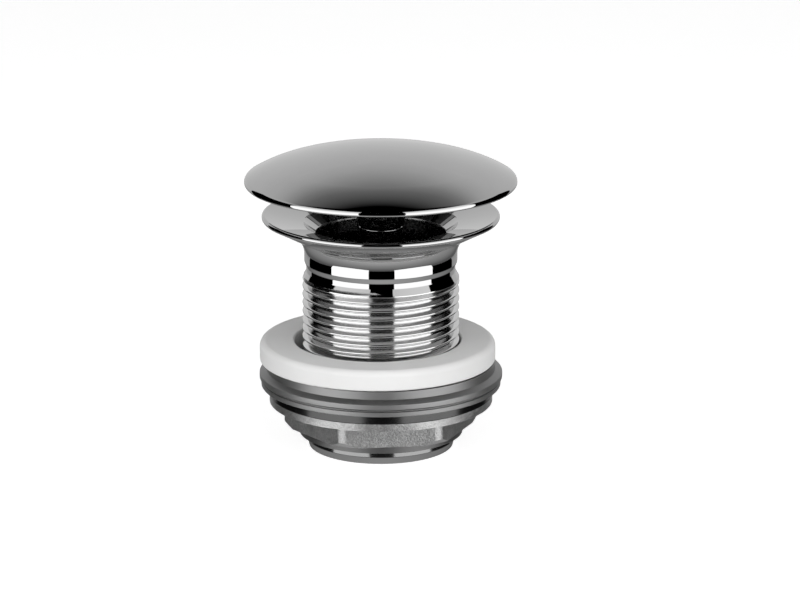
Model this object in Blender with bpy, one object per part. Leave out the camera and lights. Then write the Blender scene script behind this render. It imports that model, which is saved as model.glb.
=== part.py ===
"""Pop up basin waste: a flanged drain body with a push-push plug and a screwed clamp set.

The tube's lower end is at z = 0 and its axis is +Z. The plug stands open at rest.
All sizes are in metres, written as millimetres times mm.
"""
import math

import bmesh
import bpy
from mathutils import Matrix

mm = 0.001

# Running and seating clearances
SEAT_GAP = 0.3 * mm           # between pieces that rest on or fit in each other
THREAD_GAP = 0.35 * mm        # radial room between the thread's crests and what passes over them

# Drain body: tube, flange and funnel
THREAD_CREST_R = 20.955 * mm  # G 1 1/4 pipe thread
TUBE_WALL = 3.705 * mm        # from the bore to the thread's crests
PLAIN_END_DROP = 1.205 * mm   # how far the plain end lies below the crests
TUBE_TIP_DROP = 1.655 * mm
TIP_CHAMFER_H = 1.9 * mm
PLAIN_END_H = 4.0 * mm
THREAD_TOP_Z = 46.4 * mm
NECK_DROP = 1.085 * mm
NECK_CHAMFER_H = 1.8 * mm
NECK_H = 1.45 * mm
COLLAR_DROP = 0.555 * mm
COLLAR_STEP_H = 1.3 * mm
COLLAR_H = 2.05 * mm
FLANGE_W = 10.695 * mm        # from the thread's crests to the rim
FLANGE_RISE = 10.7 * mm       # from the flare's start to the flange's top
FLANGE_EDGE = 1.25 * mm       # thickness of the flange at its rim
FLARE_R = 6.0 * mm            # concave radius under the flange
LIP_FROM_BORE = 3.35 * mm
DISH_DROP = 2.4 * mm          # how far the flange's top falls from rim to lip
FUNNEL_DROP = 2.8 * mm

# Spider that carries the click cartridge in the bore
HUB_WALL = 2.2 * mm
HUB_DROP = 15.3 * mm          # from the flange's top to the hub's top
HUB_H = 8.0 * mm
ARM_COUNT = 4
ARM_W = 3.0 * mm
ARM_H = 6.0 * mm
ARM_FIRST_DEG = 45.0

# Click cartridge, sized from the spindle outwards
CAN_WALL = 0.85 * mm
CAN_L = 32.0 * mm             # below the hub's top
CAN_HEAD_W = 2.0 * mm
CAN_HEAD_H = 3.4 * mm
HEAD_NOTCH_W = 2.4 * mm
HEAD_NOTCH_DEPTH = 1.2 * mm
CAN_WASHER_H = 1.0 * mm
CLIP_H = 0.8 * mm
CLIP_W = 1.6 * mm
CLIP_BITE = 0.4 * mm          # how far the retaining clip reaches into the can's wall
CLIP_TO_HEAD_TOP = 0.9 * mm
CLIP_OPENING_DEG = 46.0
BUSH_H = 6.5 * mm
STEM_SEAL_SECTION = 1.4 * mm
SLEEVE_H = 17.2 * mm
SLEEVE_WALL = 2.0 * mm
PLUG_FLOOR_H = 2.7 * mm
PLUG_WALL = 1.6 * mm
PLUG_COLLAR_H = 2.5 * mm
PLUG_DRAIN_R = 2.2 * mm
PLUG_SLOT_W = 1.6 * mm
PLUG_SLOT_DEPTH = 1.2 * mm

# Cam groove and rotor: three push-push cycles round the sleeve
PRESS_TRAVEL = 8.0 * mm
PRESS_TURN_DEG = 45.0         # turn of the rotor over the press travel
OVER_TRAVEL = 1.2 * mm        # extra press that frees the latch
CYCLE_COUNT = 3
LUG_R = 1.0 * mm
LUG_REACH = 1.2 * mm          # how far a lug stands out of the rotor
ROTOR_WALL = 2.75 * mm
ROTOR_H = 5.0 * mm
ROTOR_CHAMFER = 0.4 * mm
LUG_BELOW_ROTOR_TOP = 1.5 * mm
THRUST_WASHER_H = 1.0 * mm

# Plunger and return spring
STEM_SHOULDER_W = 2.9 * mm    # from the spindle to the stem's outside
STEM_BELOW_RIM = 11.4 * mm    # from the cap's rim to the stem's top
STEM_WALL = 1.6 * mm          # round the stud
STEM_L = 18.4 * mm
SPINDLE_R = 3.0 * mm
SPINDLE_L = 10.3 * mm
SPINDLE_CHAMFER = 0.5 * mm
SPINDLE_CLIP_H = 0.6 * mm
SPINDLE_CLIP_W = 1.6 * mm
SPINDLE_CLIP_BITE = 0.4 * mm
SPINDLE_CLIP_OPENING_DEG = 70.0
STUD_IN_STEM = 10.7 * mm
STUD_IN_BOSS = 11.0 * mm
STUD_SOCKET_AF = 4.0 * mm
STUD_SOCKET_DEPTH = 3.0 * mm
STUD_CHAMFER = 0.6 * mm
SPRING_WIRE = 0.9 * mm
SPRING_INSET = 3.15 * mm      # from the inserts' outside to the spring's middle line
SPRING_TURNS = 7.0

# Cap
CAP_OVERHANG = 4.55 * mm      # past the flange's rim
CAP_CLOSED_GAP = 0.3 * mm     # between rim and flange when the plug is down
CAP_BAND_H = 0.6 * mm         # straight part of the rim
CAP_CORNER_R = 1.3 * mm       # from the rim into the shoulder
CAP_SHOULDER_R = 41.1 * mm
CAP_CROWN_R = 92.3 * mm
CAP_CROWN_INSET = 9.3 * mm    # from the rim to where the crown begins
CAP_WALL = 1.2 * mm
CAP_EDGE_R = 0.4 * mm
BOSS_WALL = 3.4 * mm
BOSS_CHAMFER_H = 1.4 * mm
BOSS_FLANGE_W = 3.8 * mm
BOSS_FLANGE_H = 2.7 * mm
CAP_SEAL_W = 5.6 * mm
CAP_SEAL_H = 2.2 * mm         # at its outer edge
RETAINER_OVERHANG = 1.0 * mm  # past the cap seal
RETAINER_HUB_DROP = 1.8 * mm
RETAINER_WALL = 1.6 * mm
RIB_COUNT = 6
RIB_W = 1.4 * mm

# Clamp set under the basin: lock nut, pressure ring and gasket
NUT_BOTTOM_Z = 3.7 * mm
NUT_COLLAR_W = 0.945 * mm     # from the thread's crests to the collar's outside
NUT_COLLAR_H = 2.1 * mm
NUT_WALL = 2.045 * mm         # across a flat, outside the thread's crests
NUT_CORNER_R = 4.5 * mm
NUT_CORNER_CUT = 1.6 * mm     # flat end face left outside the flats by the corners' chamfer
NUT_HEX_H = 6.45 * mm
NUT_FACE_TURN_DEG = 5.7       # the front hex face looks this far towards +X
NUT_DISC_W = 7.1 * mm         # how far the disc stands out of the hex
NUT_DISC_RAW_H = 1.95 * mm
NUT_DISC_H = 4.3 * mm
NUT_DISC_STEP = 0.25 * mm
RING_OVERHANG = 2.4 * mm      # past the nut's disc
RING_BEAD_DROP = 0.45 * mm    # how far the bead, groove and seat lie inside the ring's rim
RING_BEAD_H = 1.3 * mm
RING_GROOVE_DROP = 0.95 * mm
RING_GROOVE_H = 0.75 * mm
RING_RIM_H = 1.4 * mm
RING_SLOPE_H = 0.9 * mm
RING_SEAT_DROP = 1.9 * mm
RING_H = 6.55 * mm
RING_CHAMFER = 0.5 * mm
GASKET_HOLE_GAP = 1.245 * mm  # round the thread
GASKET_SHIFT = 0.9 * mm       # the loose gasket hangs this far off centre, towards -X
GASKET_INSET = 0.15 * mm      # the gasket is this much smaller than the flange
GASKET_H = 5.5 * mm
GASKET_EDGE_R = 1.8 * mm
GASKET_LOW_EDGE = 0.4 * mm

# Smoothness
SEGMENTS_LARGE = 48
SEGMENTS_SMALL = 28
GROOVE_STEPS = 72
SPRING_STEPS = 12             # round one turn
SHARP_DEG = 32.0

# Guides
PAST = 1.0 * mm               # how far a guide runs past the surface that it cuts or joins
AXIS_MARK = 5.0 * mm          # drawn length of a joint's axis

# Radii and places worked out from the sizes above
FLANGE_R = THREAD_CREST_R + FLANGE_W
CAP_R = FLANGE_R + CAP_OVERHANG
BORE_R = THREAD_CREST_R - TUBE_WALL
PLAIN_END_R = THREAD_CREST_R - PLAIN_END_DROP
TUBE_TIP_R = THREAD_CREST_R - TUBE_TIP_DROP
NECK_R = THREAD_CREST_R - NECK_DROP
COLLAR_R = THREAD_CREST_R - COLLAR_DROP
LIP_R = BORE_R + LIP_FROM_BORE
CAP_SEAL_IN_R = LIP_R + SEAT_GAP
CAP_SEAL_OUT_R = CAP_SEAL_IN_R + CAP_SEAL_W
RETAINER_R = CAP_SEAL_OUT_R + RETAINER_OVERHANG
NUT_AF = 2 * (THREAD_CREST_R + NUT_WALL)
NUT_COLLAR_R = THREAD_CREST_R + NUT_COLLAR_W
NUT_DISC_R = NUT_AF / 2 + NUT_DISC_W
RING_R = NUT_DISC_R + RING_OVERHANG
RING_BEAD_R = RING_R - RING_BEAD_DROP
RING_GROOVE_R = RING_R - RING_GROOVE_DROP
RING_SEAT_R = RING_R - RING_SEAT_DROP
GASKET_HOLE_R = THREAD_CREST_R + GASKET_HOLE_GAP
GASKET_R = FLANGE_R - GASKET_INSET
NECK_Z = THREAD_TOP_Z + NECK_CHAMFER_H
COLLAR_Z = NECK_Z + NECK_H + COLLAR_STEP_H
FLARE_Z = COLLAR_Z + COLLAR_H
FLANGE_TOP_Z = FLARE_Z + FLANGE_RISE
CAP_RIM_Z = FLANGE_TOP_Z + PRESS_TRAVEL + CAP_CLOSED_GAP
STEM_TOP_Z = CAP_RIM_Z - STEM_BELOW_RIM
HUB_TOP_Z = FLANGE_TOP_Z - HUB_DROP
HUB_Z = HUB_TOP_Z - HUB_H
ROTOR_R = SPINDLE_R + SEAT_GAP + ROTOR_WALL
SLEEVE_INNER_R = ROTOR_R + SEAT_GAP
INSERT_R = SLEEVE_INNER_R + SLEEVE_WALL
CAN_INNER_R = INSERT_R + SEAT_GAP
CAN_R = CAN_INNER_R + CAN_WALL
CAN_HEAD_R = CAN_R + CAN_HEAD_W
CAN_BOTTOM_Z = HUB_TOP_Z - CAN_L
HUB_IN_R = CAN_R + SEAT_GAP
HUB_R = HUB_IN_R + HUB_WALL
STEM_R = SPINDLE_R + STEM_SHOULDER_W
STUD_R = STEM_R - STEM_WALL - SEAT_GAP
BOSS_R = STUD_R + SEAT_GAP + BOSS_WALL
BOSS_FLANGE_R = BOSS_R + BOSS_FLANGE_W
SPRING_R = INSERT_R - SPRING_INSET
CAN_WASHER_Z = HUB_TOP_Z + SEAT_GAP
CAN_HEAD_Z = CAN_WASHER_Z + CAN_WASHER_H + SEAT_GAP
CAN_TOP_Z = CAN_HEAD_Z + CAN_HEAD_H
CLIP_Z = CAN_TOP_Z - CLIP_TO_HEAD_TOP - CLIP_H
BUSH_TOP_Z = CLIP_Z - SEAT_GAP
SLEEVE_TOP_Z = BUSH_TOP_Z - BUSH_H - SEAT_GAP
SLEEVE_BOTTOM_Z = SLEEVE_TOP_Z - SLEEVE_H
STEM_SHOULDER_Z = STEM_TOP_Z - STEM_L
SPINDLE_END_Z = STEM_SHOULDER_Z - SPINDLE_L
ROTOR_TOP_Z = STEM_SHOULDER_Z - SEAT_GAP
LUG_Z = ROTOR_TOP_Z - LUG_BELOW_ROTOR_TOP
LUG_TIP_R = ROTOR_R + LUG_REACH
THRUST_TOP_Z = ROTOR_TOP_Z - ROTOR_H - SEAT_GAP
THRUST_BOTTOM_Z = THRUST_TOP_Z - THRUST_WASHER_H
SPINDLE_CLIP_Z = THRUST_BOTTOM_Z - SEAT_GAP - SPINDLE_CLIP_H
SPINDLE_GROOVE_R = SPINDLE_R - SPINDLE_CLIP_BITE
PLUG_BOTTOM_Z = CAN_BOTTOM_Z + SEAT_GAP
PLUG_FLOOR_Z = PLUG_BOTTOM_Z + PLUG_FLOOR_H
PLUG_TOP_Z = SLEEVE_BOTTOM_Z - SEAT_GAP
SPRING_BOTTOM_Z = PLUG_FLOOR_Z + SEAT_GAP
SPRING_TOP_Z = THRUST_BOTTOM_Z - SEAT_GAP
SPRING_INNER_R = SPRING_R - SPRING_WIRE / 2
BOSS_BOTTOM_Z = STEM_TOP_Z + SEAT_GAP
CAP_BAND_TOP_Z = CAP_RIM_Z + CAP_BAND_H
CAP_CORNER_X = CAP_R - CAP_CORNER_R
CROWN_EDGE_R = CAP_R - CAP_CROWN_INSET
SHOULDER_X = CROWN_EDGE_R * (CAP_CROWN_R - CAP_SHOULDER_R) / CAP_CROWN_R
CORNER_REACH = CAP_SHOULDER_R - CAP_CORNER_R
SHOULDER_Z = CAP_BAND_TOP_Z - math.sqrt(CORNER_REACH ** 2 - (CAP_CORNER_X - SHOULDER_X) ** 2)
CROWN_Z = SHOULDER_Z - math.sqrt((CAP_CROWN_R - CAP_SHOULDER_R) ** 2 - SHOULDER_X ** 2)
LIP_Z = FLANGE_TOP_Z - DISH_DROP
DISH_EDGE_R = FLANGE_R - FLANGE_EDGE / 2
NUT_HEX_Z = NUT_BOTTOM_Z + NUT_COLLAR_H
NUT_DISC_Z = NUT_HEX_Z + NUT_HEX_H
NUT_TOP_Z = NUT_DISC_Z + NUT_DISC_H
RING_Z = NUT_TOP_Z + SEAT_GAP
GASKET_Z = RING_Z + RING_H + SEAT_GAP
SLIDE_OVER_R = THREAD_CREST_R + THREAD_GAP
CAP_SEAL_OUT_DROP = DISH_DROP * (DISH_EDGE_R - CAP_SEAL_OUT_R) / (DISH_EDGE_R - LIP_R)
CAP_SEAL_TOP_Z = FLANGE_TOP_Z - CAP_SEAL_OUT_DROP + PRESS_TRAVEL + SEAT_GAP + CAP_SEAL_H
RETAINER_BOTTOM_Z = CAP_SEAL_TOP_Z + SEAT_GAP

MATERIALS = {
    "chrome": ((0.62, 0.62, 0.63), 0.06, 1.0),
    "raw_nickel": ((0.42, 0.42, 0.43), 0.32, 1.0),
    "white_rubber": ((0.86, 0.86, 0.85), 0.55, 0.0),
    "dark_rubber": ((0.03, 0.03, 0.03), 0.6, 0.0),
    "brass": ((0.72, 0.55, 0.25), 0.3, 1.0),
    "white_plastic": ((0.82, 0.82, 0.8), 0.4, 0.0),
    "grey_plastic": ((0.35, 0.36, 0.37), 0.45, 0.0),
    "steel": ((0.55, 0.55, 0.56), 0.25, 1.0),
}


def clear_scene():
    for obj in list(bpy.data.objects):
        bpy.data.objects.remove(obj, do_unlink=True)


def material(name):
    mat = bpy.data.materials.get(name)
    if mat:
        return mat
    colour, roughness, metallic = MATERIALS[name]
    mat = bpy.data.materials.new(name)
    mat.use_nodes = True
    shader = mat.node_tree.nodes["Principled BSDF"]
    shader.inputs["Base Color"].default_value = (*colour, 1.0)
    shader.inputs["Roughness"].default_value = roughness
    shader.inputs["Metallic"].default_value = metallic
    return mat


def add_object(name, bm, finish=None, parent=None):
    """Turns a bmesh into a named object, smooth but for its sharp edges."""
    bmesh.ops.recalc_face_normals(bm, faces=bm.faces[:])
    mesh = bpy.data.meshes.new(name)
    bm.to_mesh(mesh)
    bm.free()
    mesh.shade_smooth()
    mesh.set_sharp_from_angle(angle=math.radians(SHARP_DEG))
    obj = bpy.data.objects.new(name, mesh)
    bpy.context.collection.objects.link(obj)
    if finish:
        mesh.materials.append(material(finish))
    if parent:
        obj.parent = parent
        obj.matrix_parent_inverse = parent.matrix_world.inverted()
    return obj


def turned_mesh(outline, segments):
    """Spins a closed outline of (radius, height) points round the Z axis."""
    bm = bmesh.new()
    verts = [bm.verts.new((r, 0.0, z)) for r, z in outline]
    edges = [bm.edges.new((verts[i - 1], verts[i])) for i in range(len(verts))]
    edges = [e for e in edges if max(v.co.x for v in e.verts) > 0.0]
    bmesh.ops.spin(
        bm, geom=edges, cent=(0, 0, 0), axis=(0, 0, 1), angle=2 * math.pi,
        steps=segments, use_merge=True,
    )
    loose = [e for e in bm.edges if not e.link_faces]
    bmesh.ops.delete(bm, geom=loose, context="EDGES")
    bmesh.ops.remove_doubles(bm, verts=bm.verts[:], dist=0.001 * mm)
    return bm


def turned(name, outline, finish=None, segments=SEGMENTS_LARGE, parent=None):
    return add_object(name, turned_mesh(outline, segments), finish, parent)


def arc(centre, radius, start_deg, end_deg, steps):
    """Points of an arc in the (radius, height) plane."""
    points = []
    for i in range(steps + 1):
        a = math.radians(start_deg + (end_deg - start_deg) * i / steps)
        points.append((centre[0] + radius * math.cos(a), centre[1] + radius * math.sin(a)))
    return points


def prism(name, points, z_low, z_high, finish=None, parent=None):
    """Extrudes a closed outline of (x, y) points from z_low to z_high."""
    bm = bmesh.new()
    face = bm.faces.new([bm.verts.new((x, y, z_low)) for x, y in points])
    result = bmesh.ops.extrude_face_region(bm, geom=[face])
    top = [g for g in result["geom"] if isinstance(g, bmesh.types.BMVert)]
    bmesh.ops.translate(bm, verts=top, vec=(0, 0, z_high - z_low))
    return add_object(name, bm, finish, parent)


def block(name, size, centre, turn_deg=0.0):
    """A box of the given size, placed and then turned about the Z axis."""
    bm = bmesh.new()
    bmesh.ops.create_cube(bm, size=1.0)
    bmesh.ops.scale(bm, vec=size, verts=bm.verts[:])
    bmesh.ops.translate(bm, vec=centre, verts=bm.verts[:])
    turn = Matrix.Rotation(math.radians(turn_deg), 3, "Z")
    bmesh.ops.rotate(bm, cent=(0, 0, 0), matrix=turn, verts=bm.verts[:])
    return add_object(name, bm)


def cut_with(obj, tool, operation="DIFFERENCE"):
    """Adds a Boolean to obj and keeps its tool as a hidden guide."""
    tool.hide_render = True
    tool.hide_set(True)
    tool.display_type = "WIRE"
    mod = obj.modifiers.new(tool.name, "BOOLEAN")
    mod.object = tool
    mod.operation = operation
    mod.solver = "EXACT"


def joint_axis(name, height):
    """An empty on the tube's axis that carries a moving group."""
    empty = bpy.data.objects.new(name, None)
    empty.empty_display_size = AXIS_MARK
    empty.location = (0, 0, height)
    bpy.context.collection.objects.link(empty)
    bpy.context.view_layer.update()
    return empty


def dish_height(radius):
    """Height of the flange's dished top at a radius."""
    share = (radius - LIP_R) / (DISH_EDGE_R - LIP_R)
    return LIP_Z + DISH_DROP * share


def dome_height(radius, depth=0.0):
    """Height of the cap's crown and shoulder at a radius, measured depth below the outside."""
    crown_r = CAP_CROWN_R - depth
    if radius < CROWN_EDGE_R * crown_r / CAP_CROWN_R:
        return CROWN_Z + math.sqrt(crown_r ** 2 - radius ** 2)
    return SHOULDER_Z + math.sqrt((CAP_SHOULDER_R - depth) ** 2 - (radius - SHOULDER_X) ** 2)


def dome_arc(from_r, to_r, depth, steps):
    """Points along the cap's crown and shoulder between two radii."""
    radii = [from_r + (to_r - from_r) * i / steps for i in range(steps + 1)]
    return [(r, dome_height(r, depth)) for r in radii]


def flanged_body():
    """Cast and turned body: dished flange, funnel, threaded tube and the spider inside."""
    edge_centre = (FLANGE_R - FLANGE_EDGE / 2, FLANGE_TOP_Z - FLANGE_EDGE / 2)
    outline = [(BORE_R, 0.0), (TUBE_TIP_R, 0.0), (PLAIN_END_R, TIP_CHAMFER_H)]
    outline += [(PLAIN_END_R, PLAIN_END_H)]
    outline += [(THREAD_CREST_R, PLAIN_END_H + THREAD_CREST_R - PLAIN_END_R)]
    outline += [(THREAD_CREST_R, THREAD_TOP_Z), (NECK_R, NECK_Z), (NECK_R, NECK_Z + NECK_H)]
    outline += [(COLLAR_R, COLLAR_Z)]
    outline += arc((COLLAR_R + FLARE_R, FLARE_Z), FLARE_R, 180.0, 112.0, 6)
    outline += arc(edge_centre, FLANGE_EDGE / 2, -75.0, 90.0, 5)
    outline += [(LIP_R, LIP_Z), (BORE_R, LIP_Z - FUNNEL_DROP)]
    body = turned("flanged_body", outline, "chrome")

    hub = turned(
        "hub_guide",
        [(HUB_IN_R, HUB_Z), (HUB_R, HUB_Z), (HUB_R, HUB_TOP_Z), (HUB_IN_R, HUB_TOP_Z)],
        segments=SEGMENTS_SMALL,
    )
    cut_with(body, hub, "UNION")
    inner = HUB_R - PAST
    outer = BORE_R + PAST
    for i in range(ARM_COUNT):
        arm = block(
            f"arm_guide_{i + 1}",
            (outer - inner, ARM_W, ARM_H),
            ((outer + inner) / 2, 0, HUB_Z + ARM_H / 2),
            ARM_FIRST_DEG + 360.0 * i / ARM_COUNT,
        )
        cut_with(body, arm, "UNION")
    return body


def cartridge_housing():
    """Can that screws into the hub and holds the click works."""
    groove_r = CAN_INNER_R + CLIP_BITE + SEAT_GAP
    outline = [(CAN_INNER_R, CAN_BOTTOM_Z), (CAN_R, CAN_BOTTOM_Z), (CAN_R, CAN_HEAD_Z)]
    outline += [(CAN_HEAD_R, CAN_HEAD_Z), (CAN_HEAD_R, CAN_TOP_Z), (CAN_INNER_R, CAN_TOP_Z)]
    outline += [(CAN_INNER_R, CLIP_Z + CLIP_H + SEAT_GAP), (groove_r, CLIP_Z + CLIP_H + SEAT_GAP)]
    outline += [(groove_r, CLIP_Z - SEAT_GAP), (CAN_INNER_R, CLIP_Z - SEAT_GAP)]
    can = turned("cartridge_housing", outline, "brass", SEGMENTS_SMALL)
    notch_l = 2 * (CAN_HEAD_R + PAST)
    for i in range(2):
        notch = block(
            f"notch_guide_{i + 1}",
            (notch_l, HEAD_NOTCH_W, 2 * HEAD_NOTCH_DEPTH),
            (0, 0, CAN_TOP_Z),
            90.0 * i,
        )
        cut_with(can, notch)
    return can


def flat_ring(name, inner_r, outer_r, z_low, height, finish, segments=SEGMENTS_SMALL, parent=None):
    outline = [(inner_r, z_low), (outer_r, z_low), (outer_r, z_low + height), (inner_r, z_low + height)]
    return turned(name, outline, finish, segments, parent)


def snap_ring(name, inner_r, outer_r, z_low, height, opening_deg, finish, parent=None):
    """Open ring of flat wire, its gap towards -Y."""
    half = opening_deg / 2
    outline = arc((0, 0), outer_r, -90 + half, 270 - half, 22)
    outline += arc((0, 0), inner_r, 270 - half, -90 + half, 22)
    return prism(name, outline, z_low, z_low + height, finish, parent)


def guide_bush():
    """Plain bearing for the stem, with an inner groove for its seal."""
    inner_r = STEM_R + SEAT_GAP
    seal_r = inner_r + STEM_SEAL_SECTION
    bottom_z = BUSH_TOP_Z - BUSH_H
    mid_z = BUSH_TOP_Z - BUSH_H / 2
    half = STEM_SEAL_SECTION / 2 + SEAT_GAP
    outline = [(inner_r, bottom_z), (INSERT_R, bottom_z), (INSERT_R, BUSH_TOP_Z), (inner_r, BUSH_TOP_Z)]
    outline += [(inner_r, mid_z + half), (seal_r + SEAT_GAP, mid_z + half)]
    outline += [(seal_r + SEAT_GAP, mid_z - half), (inner_r, mid_z - half)]
    turned("guide_bush", outline, "white_plastic", SEGMENTS_SMALL)
    centre = (inner_r + STEM_SEAL_SECTION / 2, mid_z)
    section = arc(centre, STEM_SEAL_SECTION / 2, 0.0, 315.0, 7)
    turned("stem_seal", section, "dark_rubber", SEGMENTS_SMALL)


def groove_height(turn_deg):
    """Height of the cam groove's centre line below its top, at a turn round the sleeve.

    Each cycle falls to a first valley, rises to the latch peak, falls to a second
    valley and rises back to the top, always turning the same way.
    """
    slope = PRESS_TRAVEL / PRESS_TURN_DEG
    cycle = 360.0 / CYCLE_COUNT
    valley = (PRESS_TRAVEL + OVER_TRAVEL) / slope
    turn = turn_deg % cycle
    mirrored = min(turn, cycle - turn)
    if mirrored <= valley:
        return -slope * mirrored
    latch = cycle / 2
    share = (mirrored - valley) / (latch - valley)
    return -(PRESS_TRAVEL + OVER_TRAVEL) + OVER_TRAVEL * share


def groove_cutter():
    """Closed zigzag band that sinks the cam groove into the sleeve's bore."""
    bm = bmesh.new()
    groove_r = LUG_TIP_R + SEAT_GAP
    start_r = SLEEVE_INNER_R - PAST / 2
    rise = PRESS_TRAVEL / (math.radians(PRESS_TURN_DEG) * (SLEEVE_INNER_R + groove_r) / 2)
    half = (LUG_R + SEAT_GAP) * math.sqrt(1 + rise ** 2)
    rings = []
    for i in range(GROOVE_STEPS):
        turn = 360.0 * i / GROOVE_STEPS
        mid = LUG_Z + groove_height(turn)
        a = math.radians(turn)
        corners = [(start_r, mid - half), (groove_r, mid - half)]
        corners += [(groove_r, mid + half), (start_r, mid + half)]
        rings.append([bm.verts.new((r * math.cos(a), r * math.sin(a), z)) for r, z in corners])
    for i in range(GROOVE_STEPS):
        here = rings[i]
        there = rings[(i + 1) % GROOVE_STEPS]
        for k in range(4):
            bm.faces.new((here[k], there[k], there[(k + 1) % 4], here[(k + 1) % 4]))
    return add_object("groove_guide", bm)


def cam_sleeve():
    """Fixed sleeve whose zigzag groove turns the rotor and latches it."""
    sleeve = flat_ring(
        "cam_sleeve", SLEEVE_INNER_R, INSERT_R, SLEEVE_BOTTOM_Z, SLEEVE_H, "white_plastic", GROOVE_STEPS // 2
    )
    cut_with(sleeve, groove_cutter())


def end_plug():
    """Cup that closes the can, carries the spring and props the cam sleeve."""
    wall_r = INSERT_R - PLUG_WALL
    collar_r = SPRING_INNER_R - SEAT_GAP
    collar_z = PLUG_FLOOR_Z + PLUG_COLLAR_H
    outline = [(PLUG_DRAIN_R, PLUG_BOTTOM_Z), (INSERT_R, PLUG_BOTTOM_Z), (INSERT_R, PLUG_TOP_Z)]
    outline += [(wall_r, PLUG_TOP_Z), (wall_r, PLUG_FLOOR_Z), (collar_r, PLUG_FLOOR_Z)]
    outline += [(collar_r, collar_z), (PLUG_DRAIN_R, collar_z)]
    plug = turned("end_plug", outline, "brass", SEGMENTS_SMALL)
    slot = block(
        "slot_guide",
        (2 * (INSERT_R + PAST), PLUG_SLOT_W, 2 * PLUG_SLOT_DEPTH),
        (0, 0, PLUG_BOTTOM_Z),
    )
    cut_with(plug, slot)


def return_spring():
    """Coil spring with closed end turns, as a wire along a computed helix."""
    count = int(SPRING_TURNS * SPRING_STEPS)
    low = SPRING_BOTTOM_Z + SPRING_WIRE / 2
    high = SPRING_TOP_Z - SPRING_WIRE / 2
    closed = SPRING_WIRE * 1.12
    curve = bpy.data.curves.new("return_spring", "CURVE")
    curve.dimensions = "3D"
    curve.bevel_depth = SPRING_WIRE / 2
    curve.bevel_resolution = 1
    curve.use_fill_caps = True
    spline = curve.splines.new("POLY")
    spline.points.add(count)
    for i in range(count + 1):
        turn = i / SPRING_STEPS
        if turn < 1.0:
            z = low + closed * turn
        elif turn > SPRING_TURNS - 1.0:
            z = high - closed * (SPRING_TURNS - turn)
        else:
            share = (turn - 1.0) / (SPRING_TURNS - 2.0)
            z = low + closed + (high - low - 2 * closed) * share
        a = 2 * math.pi * turn
        spline.points[i].co = (SPRING_R * math.cos(a), SPRING_R * math.sin(a), z, 1.0)
    spring = bpy.data.objects.new("return_spring", curve)
    curve.materials.append(material("steel"))
    bpy.context.collection.objects.link(spring)


def cam_rotor(axis):
    """Rotor on the spindle whose lugs run in the cam groove."""
    low = ROTOR_TOP_Z - ROTOR_H
    bore = SPINDLE_R + SEAT_GAP
    outline = [(bore, low), (ROTOR_R - ROTOR_CHAMFER, low), (ROTOR_R, low + ROTOR_CHAMFER)]
    outline += [(ROTOR_R, ROTOR_TOP_Z - ROTOR_CHAMFER), (ROTOR_R - ROTOR_CHAMFER, ROTOR_TOP_Z)]
    outline += [(bore, ROTOR_TOP_Z)]
    rotor = turned("cam_rotor", outline, "grey_plastic", SEGMENTS_SMALL, axis)
    root_r = (bore + ROTOR_R) / 2
    for i in range(CYCLE_COUNT):
        bm = bmesh.new()
        bmesh.ops.create_cone(
            bm, cap_ends=True, segments=14, radius1=LUG_R, radius2=LUG_R, depth=LUG_TIP_R - root_r
        )
        bmesh.ops.rotate(bm, cent=(0, 0, 0), matrix=Matrix.Rotation(math.pi / 2, 3, "Y"), verts=bm.verts[:])
        bmesh.ops.translate(bm, vec=((LUG_TIP_R + root_r) / 2, 0, LUG_Z), verts=bm.verts[:])
        turn = Matrix.Rotation(2 * math.pi * i / CYCLE_COUNT, 3, "Z")
        bmesh.ops.rotate(bm, cent=(0, 0, 0), matrix=turn, verts=bm.verts[:])
        cut_with(rotor, add_object(f"lug_guide_{i + 1}", bm), "UNION")


def plunger_stem(axis):
    """Stem with a blind hole for the stud above and the rotor's spindle below."""
    hole_r = STUD_R + SEAT_GAP
    hole_z = STEM_TOP_Z - STUD_IN_STEM - SEAT_GAP
    groove_top = SPINDLE_CLIP_Z + SPINDLE_CLIP_H + SEAT_GAP / 2
    groove_low = SPINDLE_CLIP_Z - SEAT_GAP / 2
    outline = [(0, SPINDLE_END_Z), (SPINDLE_R - SPINDLE_CHAMFER, SPINDLE_END_Z)]
    outline += [(SPINDLE_R, SPINDLE_END_Z + SPINDLE_CHAMFER)]
    outline += [(SPINDLE_R, groove_low), (SPINDLE_GROOVE_R, groove_low)]
    outline += [(SPINDLE_GROOVE_R, groove_top), (SPINDLE_R, groove_top)]
    outline += [(SPINDLE_R, STEM_SHOULDER_Z), (STEM_R, STEM_SHOULDER_Z), (STEM_R, STEM_TOP_Z)]
    outline += [(hole_r, STEM_TOP_Z), (hole_r, hole_z), (0, hole_z)]
    turned("plunger_stem", outline, "chrome", SEGMENTS_SMALL, axis)
    snap_ring(
        "rotor_clip",
        SPINDLE_GROOVE_R + SEAT_GAP,
        SPINDLE_GROOVE_R + SEAT_GAP + SPINDLE_CLIP_W,
        SPINDLE_CLIP_Z,
        SPINDLE_CLIP_H,
        SPINDLE_CLIP_OPENING_DEG,
        "steel",
        axis,
    )


def adjusting_stud(axis):
    """Stud that joins stem and cap boss, with a hexagon socket in its top."""
    low = STEM_TOP_Z - STUD_IN_STEM
    high = BOSS_BOTTOM_Z + STUD_IN_BOSS
    outline = [(0, low), (STUD_R - STUD_CHAMFER, low), (STUD_R, low + STUD_CHAMFER)]
    outline += [(STUD_R, high - STUD_CHAMFER), (STUD_R - STUD_CHAMFER, high), (0, high)]
    stud = turned("adjusting_stud", outline, "steel", SEGMENTS_SMALL, axis)
    corner = STUD_SOCKET_AF / math.sqrt(3)
    points = arc((0, 0), corner, 0.0, 300.0, 5)
    cut_with(stud, prism("socket_guide", points, high - STUD_SOCKET_DEPTH, high + PAST))


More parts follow.
